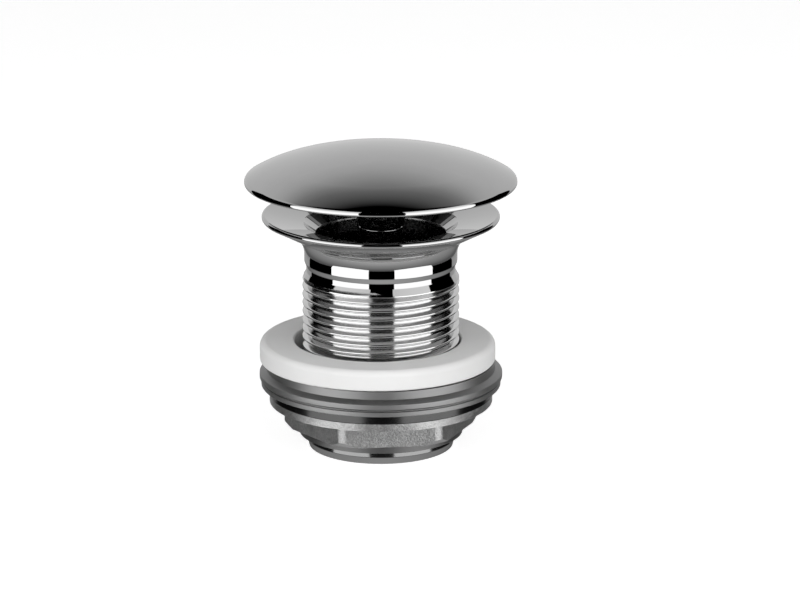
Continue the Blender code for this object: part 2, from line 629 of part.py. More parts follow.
def cap_boss(axis):
    """Boss under the dome that the stud screws into."""
    bore = STUD_R + SEAT_GAP
    bore_top = BOSS_BOTTOM_Z + STUD_IN_BOSS + SEAT_GAP
    tip_r = BOSS_R - BOSS_CHAMFER_H
    depth = CAP_WALL + SEAT_GAP
    flange_z = dome_height(BOSS_FLANGE_R, depth)
    outline = [(bore, BOSS_BOTTOM_Z), (tip_r, BOSS_BOTTOM_Z), (BOSS_R, BOSS_BOTTOM_Z + BOSS_CHAMFER_H)]
    outline += [(BOSS_R, flange_z - BOSS_FLANGE_H), (BOSS_FLANGE_R, flange_z - BOSS_FLANGE_H)]
    outline += dome_arc(BOSS_FLANGE_R, 0.0, depth, 3)
    outline += [(0, bore_top), (bore, bore_top)]
    turned("cap_boss", outline, "chrome", SEGMENTS_SMALL, axis)
    return flange_z - BOSS_FLANGE_H


def cap_dome(axis):
    """Domed cap: flat crown, tighter shoulder and a short upright rim."""
    inner_r = CAP_R - CAP_WALL
    rise = CAP_BAND_TOP_Z - SHOULDER_Z
    leave_deg = math.degrees(math.atan2(rise, CAP_CORNER_X - SHOULDER_X))
    corner_end_r = CAP_CORNER_X + CAP_CORNER_R * math.cos(math.radians(leave_deg))
    outline = [(inner_r, CAP_RIM_Z)]
    outline += arc((CAP_R - CAP_EDGE_R, CAP_RIM_Z + CAP_EDGE_R), CAP_EDGE_R, -90.0, 0.0, 2)
    outline += arc((CAP_CORNER_X, CAP_BAND_TOP_Z), CAP_CORNER_R, 0.0, leave_deg, 2)
    outline += dome_arc(corner_end_r, CROWN_EDGE_R, 0.0, 4)[1:]
    outline += dome_arc(CROWN_EDGE_R, 0.0, 0.0, 5)[1:]
    outline += dome_arc(0.0, CROWN_EDGE_R, CAP_WALL, 4)
    outline += dome_arc(CROWN_EDGE_R, inner_r, CAP_WALL, 3)[1:]
    turned("cap_dome", outline, "chrome", SEGMENTS_LARGE, axis)


def cap_seal(axis):
    """Rubber ring whose sloped face meets the flange's dish when the plug is down."""
    closed_gap = PRESS_TRAVEL + SEAT_GAP
    outline = [(CAP_SEAL_IN_R, dish_height(CAP_SEAL_IN_R) + closed_gap)]
    outline += [(CAP_SEAL_OUT_R, dish_height(CAP_SEAL_OUT_R) + closed_gap)]
    outline += [(CAP_SEAL_OUT_R, CAP_SEAL_TOP_Z), (CAP_SEAL_IN_R, CAP_SEAL_TOP_Z)]
    turned("cap_seal", outline, "dark_rubber", SEGMENTS_LARGE, axis)


def seal_retainer(axis, boss_flange_z):
    """Moulded disc under the dome that holds the seal, ribbed in its hollow underside."""
    depth = CAP_WALL + SEAT_GAP
    bore = BOSS_R + SEAT_GAP
    shelf_r = BOSS_FLANGE_R + SEAT_GAP
    shelf_z = boss_flange_z - SEAT_GAP
    hub_r = CAP_SEAL_IN_R - SEAT_GAP
    hub_z = RETAINER_BOTTOM_Z - RETAINER_HUB_DROP
    pocket_in_r = bore + RETAINER_WALL
    pocket_out_r = hub_r - RETAINER_WALL
    outline = [(bore, hub_z), (bore, shelf_z), (shelf_r, shelf_z)]
    outline += dome_arc(shelf_r, RETAINER_R, depth, 3)
    outline += [(RETAINER_R, RETAINER_BOTTOM_Z), (hub_r, RETAINER_BOTTOM_Z), (hub_r, hub_z)]
    outline += [(pocket_out_r, hub_z), (pocket_out_r, shelf_z - RETAINER_WALL)]
    outline += [(pocket_in_r, shelf_z - RETAINER_WALL), (pocket_in_r, hub_z)]
    retainer = turned("seal_retainer", outline, "grey_plastic", SEGMENTS_LARGE, axis)
    inner = pocket_in_r - RETAINER_WALL / 2
    outer = pocket_out_r + RETAINER_WALL / 2
    rib_top = shelf_z - RETAINER_WALL / 2
    rib_low = hub_z + RETAINER_WALL / 2
    for i in range(RIB_COUNT):
        rib = block(
            f"rib_guide_{i + 1}",
            (outer - inner, RIB_W, rib_top - rib_low),
            ((outer + inner) / 2, 0, (rib_top + rib_low) / 2),
            360.0 * i / RIB_COUNT,
        )
        cut_with(retainer, rib, "UNION")


def hex_outline(across_flats, corner_r, turn_deg):
    """Hexagon with rounded corners."""
    points = []
    reach = (across_flats / 2 - corner_r) / math.cos(math.radians(30))
    for i in range(6):
        corner_deg = turn_deg + 60.0 * i
        a = math.radians(corner_deg)
        centre = (reach * math.cos(a), reach * math.sin(a))
        points += arc(centre, corner_r, corner_deg - 30, corner_deg + 30, 4)
    return points


def lock_nut(axis):
    """Hexagon nut with a turned collar below, a broad disc above and chamfered lower corners."""
    first_corner = -90 + NUT_FACE_TURN_DEG + 30
    outline = hex_outline(NUT_AF, NUT_CORNER_R, first_corner)
    nut = prism("lock_nut", outline, NUT_HEX_Z, NUT_DISC_Z + NUT_DISC_RAW_H / 2, "raw_nickel", axis)

    reach = NUT_AF / 2 * 1.3
    end_r = NUT_AF / 2 + NUT_CORNER_CUT
    cone = turned(
        "chamfer_guide",
        [(0, NUT_HEX_Z), (end_r, NUT_HEX_Z), (reach, NUT_HEX_Z + reach - end_r),
         (reach, NUT_TOP_Z), (0, NUT_TOP_Z)],
    )
    cut_with(nut, cone, "INTERSECT")
    collar = turned(
        "collar_guide",
        [(0, NUT_BOTTOM_Z), (NUT_COLLAR_R, NUT_BOTTOM_Z), (NUT_COLLAR_R, NUT_HEX_Z + NUT_COLLAR_H / 2),
         (0, NUT_HEX_Z + NUT_COLLAR_H / 2)],
    )
    cut_with(nut, collar, "UNION")
    raw_top = NUT_DISC_Z + NUT_DISC_RAW_H
    disc = turned(
        "disc_guide",
        [(0, NUT_DISC_Z), (NUT_DISC_R - NUT_DISC_STEP, NUT_DISC_Z), (NUT_DISC_R - NUT_DISC_STEP, raw_top),
         (NUT_DISC_R, raw_top + NUT_DISC_STEP), (NUT_DISC_R, NUT_TOP_Z - NUT_DISC_STEP),
         (NUT_DISC_R - NUT_DISC_STEP, NUT_TOP_Z), (0, NUT_TOP_Z)],
    )
    cut_with(nut, disc, "UNION")
    bore = turned(
        "nut_bore_guide",
        [(0, NUT_BOTTOM_Z - PAST), (SLIDE_OVER_R, NUT_BOTTOM_Z - PAST),
         (SLIDE_OVER_R, NUT_TOP_Z + PAST), (0, NUT_TOP_Z + PAST)],
    )
    cut_with(nut, bore)


def pressure_ring(axis):
    """Turned ring between nut and gasket, with a bead, a groove and a sloped shoulder."""
    bead_top = RING_Z + RING_BEAD_H
    rim_low = bead_top + RING_GROOVE_H
    rim_top = rim_low + RING_RIM_H
    top = RING_Z + RING_H
    outline = [(SLIDE_OVER_R, RING_Z), (RING_BEAD_R - RING_CHAMFER, RING_Z)]
    outline += [(RING_BEAD_R, RING_Z + RING_CHAMFER), (RING_BEAD_R, bead_top - RING_CHAMFER / 2)]
    outline += [(RING_GROOVE_R, bead_top), (RING_GROOVE_R, bead_top + RING_GROOVE_H / 2)]
    outline += [(RING_R, rim_low), (RING_R, rim_top), (RING_SEAT_R, rim_top + RING_SLOPE_H)]
    outline += [(RING_SEAT_R, top), (SLIDE_OVER_R, top)]
    turned("pressure_ring", outline, "chrome", SEGMENTS_LARGE, axis)


def white_gasket(axis):
    """Thick rubber washer with a rounded upper edge that seals under the basin."""
    top = GASKET_Z + GASKET_H
    outline = [(GASKET_HOLE_R, GASKET_Z), (GASKET_R - GASKET_LOW_EDGE, GASKET_Z)]
    outline += [(GASKET_R, GASKET_Z + GASKET_LOW_EDGE)]
    outline += arc((GASKET_R - GASKET_EDGE_R, top - GASKET_EDGE_R), GASKET_EDGE_R, 0.0, 90.0, 4)
    outline += [(GASKET_HOLE_R, top)]
    bm = turned_mesh(outline, SEGMENTS_LARGE)
    bmesh.ops.translate(bm, vec=(-GASKET_SHIFT, 0, 0), verts=bm.verts[:])
    add_object("white_gasket", bm, "white_rubber", axis)


def build():
    clear_scene()
    flanged_body()
    cartridge_housing()
    flat_ring(
        "cartridge_washer", HUB_IN_R, CAN_HEAD_R, CAN_WASHER_Z, CAN_WASHER_H, "dark_rubber"
    )
    clip_r = CAN_INNER_R + CLIP_BITE
    snap_ring("retaining_clip", clip_r - CLIP_W, clip_r, CLIP_Z, CLIP_H, CLIP_OPENING_DEG, "steel")
    guide_bush()
    cam_sleeve()
    end_plug()
    return_spring()

    press = joint_axis("press_axis", THRUST_TOP_Z)
    flat_ring(
        "thrust_washer", SPINDLE_R + SEAT_GAP, ROTOR_R, THRUST_BOTTOM_Z, THRUST_WASHER_H, "steel",
        parent=press,
    )
    cam_rotor(press)
    plunger_stem(press)
    adjusting_stud(press)
    boss_flange_z = cap_boss(press)
    cap_dome(press)
    cap_seal(press)
    seal_retainer(press, boss_flange_z)

    screw = joint_axis("nut_axis", RING_Z)
    lock_nut(screw)
    pressure_ring(screw)
    white_gasket(screw)


build()
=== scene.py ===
import math

import bpy
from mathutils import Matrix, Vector


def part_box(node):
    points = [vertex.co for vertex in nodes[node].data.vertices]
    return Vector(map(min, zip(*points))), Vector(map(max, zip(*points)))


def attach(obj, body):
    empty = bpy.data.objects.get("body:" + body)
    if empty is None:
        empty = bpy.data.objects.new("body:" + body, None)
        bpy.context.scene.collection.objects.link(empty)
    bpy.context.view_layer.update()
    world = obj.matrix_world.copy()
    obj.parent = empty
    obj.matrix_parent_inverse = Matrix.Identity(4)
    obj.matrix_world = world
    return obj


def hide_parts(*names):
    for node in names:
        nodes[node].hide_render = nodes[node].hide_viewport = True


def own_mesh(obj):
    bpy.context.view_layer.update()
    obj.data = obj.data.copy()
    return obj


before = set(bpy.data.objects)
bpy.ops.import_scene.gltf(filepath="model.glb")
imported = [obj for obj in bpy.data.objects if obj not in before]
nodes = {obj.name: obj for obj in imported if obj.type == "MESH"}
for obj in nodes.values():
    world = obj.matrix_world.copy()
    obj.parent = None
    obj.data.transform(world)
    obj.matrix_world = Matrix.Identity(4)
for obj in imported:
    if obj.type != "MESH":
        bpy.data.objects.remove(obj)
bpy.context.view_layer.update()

# Pop up basin waste, open: chromed drain body and cap, white gasket, pressure ring and lock nut.
# Lengths are millimetres times mm. Z is the tube's axis, and the tube's lower end is at z = 0.
mm = 0.001
weldGap = 0.002 * mm       # vertices nearer than this become one
print("frame loaded:", len(nodes), "nodes")


# Small helpers for modelling


def clearSelection():
    if bpy.context.mode != "OBJECT":
        bpy.ops.object.mode_set(mode="OBJECT")
    bpy.ops.object.select_all(action="DESELECT")


def makeActive(piece):
    clearSelection()
    piece.select_set(True)
    bpy.context.view_layer.objects.active = piece


def editAll(piece):
    makeActive(piece)
    bpy.ops.object.mode_set(mode="EDIT")
    bpy.ops.mesh.select_all(action="SELECT")


def leaveEdit():
    bpy.ops.object.mode_set(mode="OBJECT")


def drawOutline(name, outline, closed=True):
    # One vertex is pulled along the outline, given as (radius, height), as an edge chain
    clearSelection()
    bpy.ops.mesh.primitive_plane_add(size=1 * mm)
    piece = bpy.context.object
    piece.name = name
    piece.data.name = name
    bpy.ops.object.mode_set(mode="EDIT")
    bpy.ops.mesh.merge(type="CENTER")
    bpy.ops.transform.translate(value=(outline[0][0], 0, outline[0][1]))
    ends = outline[1:] + outline[:1] if closed else outline[1:]
    for (fromR, fromZ), (toR, toZ) in zip(outline, ends):
        step = (toR - fromR, 0, toZ - fromZ)
        bpy.ops.mesh.extrude_region_move(TRANSFORM_OT_translate={"value": step})
    bpy.ops.mesh.select_all(action="SELECT")
    bpy.ops.mesh.remove_doubles(threshold=weldGap)
    return piece


def turnOutline(name, outline, steps, closed=True):
    piece = drawOutline(name, outline, closed)
    bpy.ops.mesh.spin(steps=steps, angle=2 * math.pi, center=(0, 0, 0), axis=(0, 0, 1))
    bpy.ops.mesh.select_all(action="SELECT")
    bpy.ops.mesh.remove_doubles(threshold=weldGap)
    bpy.ops.mesh.normals_make_consistent(inside=False)
    leaveEdit()
    return piece


def arcPoints(centre, radius, startDeg, endDeg, steps):
    points = []
    for i in range(steps + 1):
        a = math.radians(startDeg + (endDeg - startDeg) * i / steps)
        points.append((centre[0] + radius * math.cos(a), centre[1] + radius * math.sin(a)))
    return points


def applyModifier(piece, modifier):
    makeActive(piece)
    bpy.ops.object.modifier_apply(modifier=modifier.name)


def combine(piece, tool, operation):
    # Boolean with a tool that is used up
    modifier = piece.modifiers.new("combine", "BOOLEAN")
    modifier.object = tool
    modifier.operation = operation
    modifier.solver = "EXACT"
    applyModifier(piece, modifier)
    bpy.data.objects.remove(tool, do_unlink=True)


def roundEdges(piece, width, segments=3, angle=30):
    modifier = piece.modifiers.new("round", "BEVEL")
    modifier.width = width
    modifier.segments = segments
    modifier.limit_method = "ANGLE"
    modifier.angle_limit = math.radians(angle)
    applyModifier(piece, modifier)


def smooth(piece, angle=32):
    # Smooth shading that leaves each large face flat and turns on the small ones beside it
    makeActive(piece)
    bpy.ops.object.shade_smooth_by_angle(angle=math.radians(angle))
    weights = piece.modifiers.new("weights", "WEIGHTED_NORMAL")
    weights.keep_sharp = True
    applyModifier(piece, weights)


def giveMaterial(piece, material):
    piece.data.materials.clear()
    piece.data.materials.append(material)


def seat(piece, body, slotName, material, *replaced):
    # Last step of each piece: finish, body and the CAD node that it stands for
    giveMaterial(piece, material)
    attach(piece, body)
    if replaced:
        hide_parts(*replaced)


# Shared effects, as node groups


def newGroup(name, inputs, outputs):
    group = bpy.data.node_groups.new(name, "ShaderNodeTree")
    for label, kind, value in inputs:
        socket = group.interface.new_socket(label, in_out="INPUT", socket_type=kind)
        socket.default_value = value
    for label, kind in outputs:
        group.interface.new_socket(label, in_out="OUTPUT", socket_type=kind)
    return group, group.nodes.new("NodeGroupInput"), group.nodes.new("NodeGroupOutput")


def mathNode(tree, operation, first, second=None, clamp=False):
    node = tree.nodes.new("ShaderNodeMath")
    node.operation = operation
    node.use_clamp = clamp
    for i, value in enumerate((first, second)):
        if value is None:
            continue
        if isinstance(value, (int, float)):
            node.inputs[i].default_value = value
        else:
            tree.links.new(value, node.inputs[i])
    return node.outputs[0]


def objectPlace(tree):
    return tree.nodes.new("ShaderNodeTexCoord").outputs["Object"]


def noiseNode(tree, vector, scale, detail=2.0, roughness=0.5):
    node = tree.nodes.new("ShaderNodeTexNoise")
    node.inputs["Detail"].default_value = detail
    node.inputs["Roughness"].default_value = roughness
    tree.links.new(vector, node.inputs["Vector"])
    if isinstance(scale, (int, float)):
        node.inputs["Scale"].default_value = scale
    else:
        tree.links.new(scale, node.inputs["Scale"])
    return node.outputs["Fac"]


def makeHandlingGroup():
    # Faint cloudiness and fine specks that handling leaves on a polished or moulded surface
    group, given, put = newGroup(
        "handlingMarks",
        [("Cloud Scale", "NodeSocketFloat", 90.0), ("Speck Scale", "NodeSocketFloat", 2600.0)],
        [("Cloud", "NodeSocketFloat"), ("Speck", "NodeSocketFloat")],
    )
    place = objectPlace(group)
    cloud = noiseNode(group, place, given.outputs["Cloud Scale"], 4.0, 0.6)
    speck = noiseNode(group, place, given.outputs["Speck Scale"], 2.0, 0.5)
    group.links.new(cloud, put.inputs["Cloud"])
    group.links.new(mathNode(group, "MULTIPLY_ADD", speck, 3.0, True), put.inputs["Speck"])
    return group


def makeTurningGroup():
    # Fine rings that a lathe tool leaves round the Z axis: noise that runs in height and radius only
    group, given, put = newGroup(
        "turningLines",
        [("Line Scale", "NodeSocketFloat", 3000.0)],
        [("Lines", "NodeSocketFloat")],
    )
    place = objectPlace(group)
    parts = group.nodes.new("ShaderNodeSeparateXYZ")
    group.links.new(place, parts.inputs[0])
    squareX = mathNode(group, "MULTIPLY", parts.outputs["X"], parts.outputs["X"])
    squareY = mathNode(group, "MULTIPLY", parts.outputs["Y"], parts.outputs["Y"])
    radius = mathNode(group, "SQRT", mathNode(group, "ADD", squareX, squareY))
    join = group.nodes.new("ShaderNodeCombineXYZ")
    group.links.new(radius, join.inputs["X"])
    group.links.new(parts.outputs["Z"], join.inputs["Z"])
    lines = noiseNode(group, join.outputs[0], given.outputs["Line Scale"], 3.0, 0.6)
    group.links.new(lines, put.inputs["Lines"])
    return group


def makeCastGroup():
    # Sand-cast skin: coarse dimples with finer grit between them
    group, given, put = newGroup(
        "castSkin",
        [("Grain Scale", "NodeSocketFloat", 2200.0)],
        [("Grain", "NodeSocketFloat"), ("Pits", "NodeSocketFloat")],
    )
    place = objectPlace(group)
    cells = group.nodes.new("ShaderNodeTexVoronoi")
    cells.feature = "SMOOTH_F1"
    group.links.new(place, cells.inputs["Vector"])
    group.links.new(given.outputs["Grain Scale"], cells.inputs["Scale"])
    finer = mathNode(group, "MULTIPLY", given.outputs["Grain Scale"], 1.7)
    grit = noiseNode(group, place, finer, 3.0, 0.65)
    grain = mathNode(group, "ADD", cells.outputs["Distance"], grit)
    group.links.new(mathNode(group, "MULTIPLY", grain, 0.6), put.inputs["Grain"])
    pits = mathNode(group, "SUBTRACT", cells.outputs["Distance"], 0.45, True)
    group.links.new(mathNode(group, "MULTIPLY", pits, 3.0, True), put.inputs["Pits"])
    return group


handlingMarks = makeHandlingGroup()
turningLines = makeTurningGroup()
castSkin = makeCastGroup()


# Materials


def newMaterial(name, metallic=0.0):
    material = bpy.data.materials.new(name)
    material.use_nodes = True
    shader = material.node_tree.nodes["Principled BSDF"]
    shader.inputs["Metallic"].default_value = metallic
    return material, material.node_tree, shader


def addGroup(tree, group, **values):
    node = tree.nodes.new("ShaderNodeGroup")
    node.node_tree = group
    for label, value in values.items():
        node.inputs[label.replace("_", " ")].default_value = value
    return node


def rangeNode(tree, value, low, high):
    node = tree.nodes.new("ShaderNodeMapRange")
    node.inputs["To Min"].default_value = low
    node.inputs["To Max"].default_value = high
    tree.links.new(value, node.inputs["Value"])
    return node.outputs["Result"]


def tintNode(tree, mask, dark, pale):
    node = tree.nodes.new("ShaderNodeMix")
    node.data_type = "RGBA"
    tree.links.new(mask, node.inputs["Factor"])
    node.inputs["A"].default_value = (*dark, 1)
    node.inputs["B"].default_value = (*pale, 1)
    return node.outputs["Result"]


def bumpNode(tree, height, depth, strength=1.0, under=None):
    node = tree.nodes.new("ShaderNodeBump")
    node.inputs["Strength"].default_value = strength
    node.inputs["Distance"].default_value = depth
    tree.links.new(height, node.inputs["Height"])
    if under:
        tree.links.new(under, node.inputs["Normal"])
    return node.outputs["Normal"]


def polishedMetal(name, dark, pale, roughLow, roughHigh, waviness, lineDepth):
    # Bright plate: slight cloudiness in tone and gloss, the polisher's waves and faint turning lines
    material, tree, shader = newMaterial(name, 1.0)
    marks = addGroup(tree, handlingMarks, Cloud_Scale=110.0)
    lines = addGroup(tree, turningLines, Line_Scale=2400.0)
    tree.links.new(tintNode(tree, marks.outputs["Cloud"], dark, pale), shader.inputs["Base Color"])
    tree.links.new(rangeNode(tree, marks.outputs["Cloud"], roughLow, roughHigh), shader.inputs["Roughness"])
    waves = bumpNode(tree, marks.outputs["Cloud"], waviness)
    fine = bumpNode(tree, lines.outputs["Lines"], lineDepth, under=waves)
    tree.links.new(fine, shader.inputs["Normal"])
    return material


def castMetal(name, dark, pale, roughness, depth, grainScale):
    # Plate over a sand casting: grain in relief, pits darker than the crests
    material, tree, shader = newMaterial(name, 1.0)
    skin = addGroup(tree, castSkin, Grain_Scale=grainScale)
    marks = addGroup(tree, handlingMarks, Cloud_Scale=260.0)
    tone = mathNode(tree, "MULTIPLY", skin.outputs["Grain"], marks.outputs["Cloud"])
    tone = mathNode(tree, "MULTIPLY", tone, 2.4, True)
    tree.links.new(tintNode(tree, tone, dark, pale), shader.inputs["Base Color"])
    gloss = rangeNode(tree, skin.outputs["Pits"], roughness, roughness + 0.2)
    tree.links.new(gloss, shader.inputs["Roughness"])
    tree.links.new(bumpNode(tree, skin.outputs["Grain"], depth), shader.inputs["Normal"])
    return material


def softMaterial(name, dark, pale, roughLow, roughHigh, depth, speckScale, sheen=0.0):
    # Rubber and plastic: cloudy tone, fine moulded texture
    material, tree, shader = newMaterial(name)
    marks = addGroup(tree, handlingMarks, Cloud_Scale=70.0, Speck_Scale=speckScale)
    tree.links.new(tintNode(tree, marks.outputs["Cloud"], dark, pale), shader.inputs["Base Color"])
    tree.links.new(rangeNode(tree, marks.outputs["Speck"], roughLow, roughHigh), shader.inputs["Roughness"])
    tree.links.new(bumpNode(tree, marks.outputs["Speck"], depth), shader.inputs["Normal"])
    shader.inputs["Sheen Weight"].default_value = sheen
    return material


chromePlate = polishedMetal("chromePlate", (0.46,) * 3, (0.5,) * 3, 0.015, 0.04, 0.004 * mm, 0.0004 * mm)
threadPlate = polishedMetal("threadPlate", (0.6,) * 3, (0.72,) * 3, 0.09, 0.14, 0.006 * mm, 0.003 * mm)
ringPlate = polishedMetal("ringPlate", (0.26,) * 3, (0.32,) * 3, 0.42, 0.52, 0.03 * mm, 0.002 * mm)
# Plain end of the tube: its darker tone is painted shade under the lock nut
plainEndPaintedShade = polishedMetal("plainEndPaintedShade", (0.18,) * 3, (0.23,) * 3, 0.1, 0.16, 0.006 * mm, 0.003 * mm)
# Turned band of the nut's disc: very dark, partly its turned finish and partly painted shade from the
# pressure ring above it
nutTurnedPaintedShade = polishedMetal("nutTurnedPaintedShade", (0.055,) * 3, (0.085,) * 3, 0.16, 0.24, 0.006 * mm, 0.003 * mm)
collarDull = polishedMetal("collarDull", (0.13,) * 3, (0.18,) * 3, 0.4, 0.5, 0.006 * mm, 0.003 * mm)
# Near-black cast metal for the cartridge housing: its tone is painted shade, the shade under the cap, not a
# finish of the part
paintedShadeNickel = castMetal("paintedShadeNickel", (0.03,) * 3, (0.08,) * 3, 0.3, 0.04 * mm, 1200.0)
nutCast = castMetal("nutCast", (0.2,) * 3, (0.5,) * 3, 0.36, 0.085 * mm, 2300.0)
# Cast boss in the gap under the cap: darker than the nut's cast skin, with painted shade under the cap
bossCastPaintedShade = castMetal("bossCastPaintedShade", (0.08,) * 3, (0.3,) * 3, 0.12, 0.12 * mm, 1100.0)
# Cast skin for the bore, the spider and the thread's run-out groove: a dark tone that is partly painted
# shade in the deep bore and in the groove
boreCastPaintedShade = castMetal("boreCastPaintedShade", (0.1,) * 3, (0.3,) * 3, 0.2, 0.08 * mm, 1000.0)
foamDark, foamPale = (0.8, 0.8, 0.795), (0.86, 0.86, 0.855)
acetalDark, acetalPale = (0.76, 0.76, 0.74), (0.83, 0.83, 0.81)
greyDark, greyPale = (0.3, 0.31, 0.32), (0.36, 0.37, 0.38)
brassDark, brassPale = (0.6, 0.43, 0.17), (0.7, 0.52, 0.24)
gasketFoam = softMaterial("gasketFoam", foamDark, foamPale, 0.5, 0.62, 0.01 * mm, 2200.0, 0.1)
darkRubber = softMaterial("darkRubber", (0.02,) * 3, (0.035,) * 3, 0.45, 0.6, 0.008 * mm, 3000.0)
whiteAcetal = softMaterial("whiteAcetal", acetalDark, acetalPale, 0.3, 0.42, 0.004 * mm, 2600.0)
greyPlastic = softMaterial("greyPlastic", greyDark, greyPale, 0.34, 0.5, 0.006 * mm, 2400.0)
turnedBrass = polishedMetal("turnedBrass", brassDark, brassPale, 0.16, 0.26, 0.004 * mm, 0.003 * mm)
springSteel = polishedMetal("springSteel", (0.48,) * 3, (0.56,) * 3, 0.16, 0.24, 0.002 * mm, 0.002 * mm)
print("materials made:", len(bpy.data.materials))


# Drain body: dished flange, flare, two turned lands and the G 1 1/4 thread

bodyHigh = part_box("flanged_body")[1]
drainBody = {
    "flangeR": bodyHigh.x,
    "topZ": bodyHigh.z,
    "rimEdge": 1.5 * mm,
    "lipR": 20.6 * mm,
    "dishDrop": 2.4 * mm,
    "funnelDrop": 2.8 * mm,
    "boreR": 17.25 * mm,
    "mouthW": 0.12 * mm,       # steep chamfer at the bore's mouth
    "mouthH": 0.5 * mm,
    "flareR": 6.0 * mm,
    "collarR": 20.4 * mm,
    "collarZ": 50.95 * mm,
    "collarH": 2.05 * mm,
    "neckR": 19.87 * mm,
    "neckZ": 48.2 * mm,
    "neckH": 1.45 * mm,
    "crestR": 20.955 * mm,
    "threadTopZ": 46.4 * mm,
    "plainEndR": 19.75 * mm,
    "plainEndH": 4.0 * mm,
    "tipR": 19.3 * mm,
    "tipH": 1.9 * mm,
    "pitch": 2.309 * mm,
    "threadDepth": 0.6403,     # in pitches
    "roundR": 0.317 * mm,      # at the thread's crests and roots
    "flankDeg": 27.5,
    "edgeR": 0.22 * mm,        # on the turned corners
    "threadSteps": 144,        # round one turn
    "threadTurnDeg": 280.0,    # where the top groove opens into the land
    "runoutZ": 47.19 * mm,     # where the cutter leaves the cone above the thread
    "runoutDepth": 1.0 * mm,
    "runoutFloor": 0.5 * mm,
    "runoutMouth": 0.9 * mm,
    "runoutFadeDeg": 35.0,
    "runoutTipInset": 0.35 * mm,
    "runoutOver": 0.4 * mm,    # how far its cutter stands out past the crests
    "runoutClear": 0.3 * mm,   # lift above its depth at its shallow end
    "coreSink": 0.3 * mm,      # the turned core lies this far inside the thread's roots
    "coreEnd": 0.6 * mm,       # height of the step from the core to either end of the thread
    "crestInset": 0.05 * mm,
    "crestLandH": 0.3 * mm,
    "rodLowGap": 0.2 * mm,     # the threaded rod stops short of the plain end and of the cone
    "rodHighGap": 0.1 * mm,
    "rodWall": 1.0 * mm,       # inside the roots, before the rod joins the core
    "steps": 192,
}


def threadOutline(d, crestR, shift):
    # One pitch of the thread, from root to root, as (radius, height)
    depth = d["threadDepth"] * d["pitch"]
    open_ = 90 - d["flankDeg"]
    crest = (crestR - d["roundR"], shift)
    points = []
    low = (crestR - depth + d["roundR"], shift - d["pitch"] / 2)
    high = (crestR - depth + d["roundR"], shift + d["pitch"] / 2)
    points += arcPoints(low, d["roundR"], 180, 180 - open_, 3)
    points += arcPoints(crest, d["roundR"], -open_, open_, 4)
    points += arcPoints(high, d["roundR"], 180 + open_, 180, 3)
    return points


def threadRod(name, d, crestR, lowZ, highZ):
    # The outline screwed upwards, cut flat at both ends and closed
    turns = math.ceil((highZ - lowZ) / d["pitch"]) + 2
    first = lowZ - d["pitch"] * (1 + (90 - d["threadTurnDeg"]) / 360)
    first += (highZ - lowZ) % d["pitch"]
    rod = drawOutline(name, threadOutline(d, crestR, first), closed=False)
    leaveEdit()
    screw = rod.modifiers.new("screw", "SCREW")
    screw.angle = 2 * math.pi
    screw.screw_offset = d["pitch"]
    screw.iterations = turns
    screw.steps = d["threadSteps"]
    screw.render_steps = d["threadSteps"]
    screw.use_merge_vertices = False
    applyModifier(rod, screw)
    editAll(rod)
    bpy.ops.mesh.remove_doubles(threshold=2 * weldGap)
    for height, upwards in ((lowZ, False), (highZ, True)):
        bpy.ops.mesh.select_all(action="SELECT")
        bpy.ops.mesh.bisect(
            plane_co=(0, 0, height), plane_no=(0, 0, 1), use_fill=False,
            clear_inner=not upwards, clear_outer=upwards,
        )
    bpy.ops.mesh.select_all(action="SELECT")
    bpy.ops.mesh.region_to_loop()
    bpy.ops.mesh.edge_face_add()
    bpy.ops.mesh.select_all(action="SELECT")
    bpy.ops.mesh.normals_make_consistent(inside=False)
    leaveEdit()
    return rod


def makeRunout(d):
    # Cutter for the thread's last half turn, which climbs the cone and grows shallow at its end
    tipR = d["crestR"] - d["runoutTipInset"] - d["runoutDepth"]
    outerR = d["crestR"] + d["runoutOver"]
    startZ = d["runoutZ"] - d["pitch"] / 2
    floorH, mouthH = d["runoutFloor"] / 2, d["runoutMouth"] / 2
    outline = [(tipR, startZ - floorH), (outerR, startZ - mouthH)]
    outline += [(outerR, startZ + mouthH), (tipR, startZ + floorH)]
    cutter = drawOutline("runout", outline)
    leaveEdit()
    screw = cutter.modifiers.new("screw", "SCREW")
    screw.angle = math.pi
    screw.screw_offset = d["pitch"] / 2
    screw.steps = d["threadSteps"] // 2
    screw.render_steps = d["threadSteps"] // 2
    screw.use_merge_vertices = False
    applyModifier(cutter, screw)
    for vertex in cutter.data.vertices:
        left = 180 - math.degrees(math.atan2(max(vertex.co.y, 0), vertex.co.x))
        lift = max(0, 1 - left / d["runoutFadeDeg"]) * (d["runoutDepth"] + d["runoutClear"])
        radius = math.hypot(vertex.co.x, vertex.co.y)
        vertex.co.x *= 1 + lift / radius
        vertex.co.y *= 1 + lift / radius
    editAll(cutter)
    turn = math.radians(d["threadTurnDeg"] - 180)
    bpy.ops.transform.rotate(value=-turn, orient_axis="Z", center_override=(0, 0, 0))
    bpy.ops.mesh.fill_holes(sides=0)
    bpy.ops.mesh.select_all(action="SELECT")
    bpy.ops.mesh.normals_make_consistent(inside=False)
    leaveEdit()
    return cutter


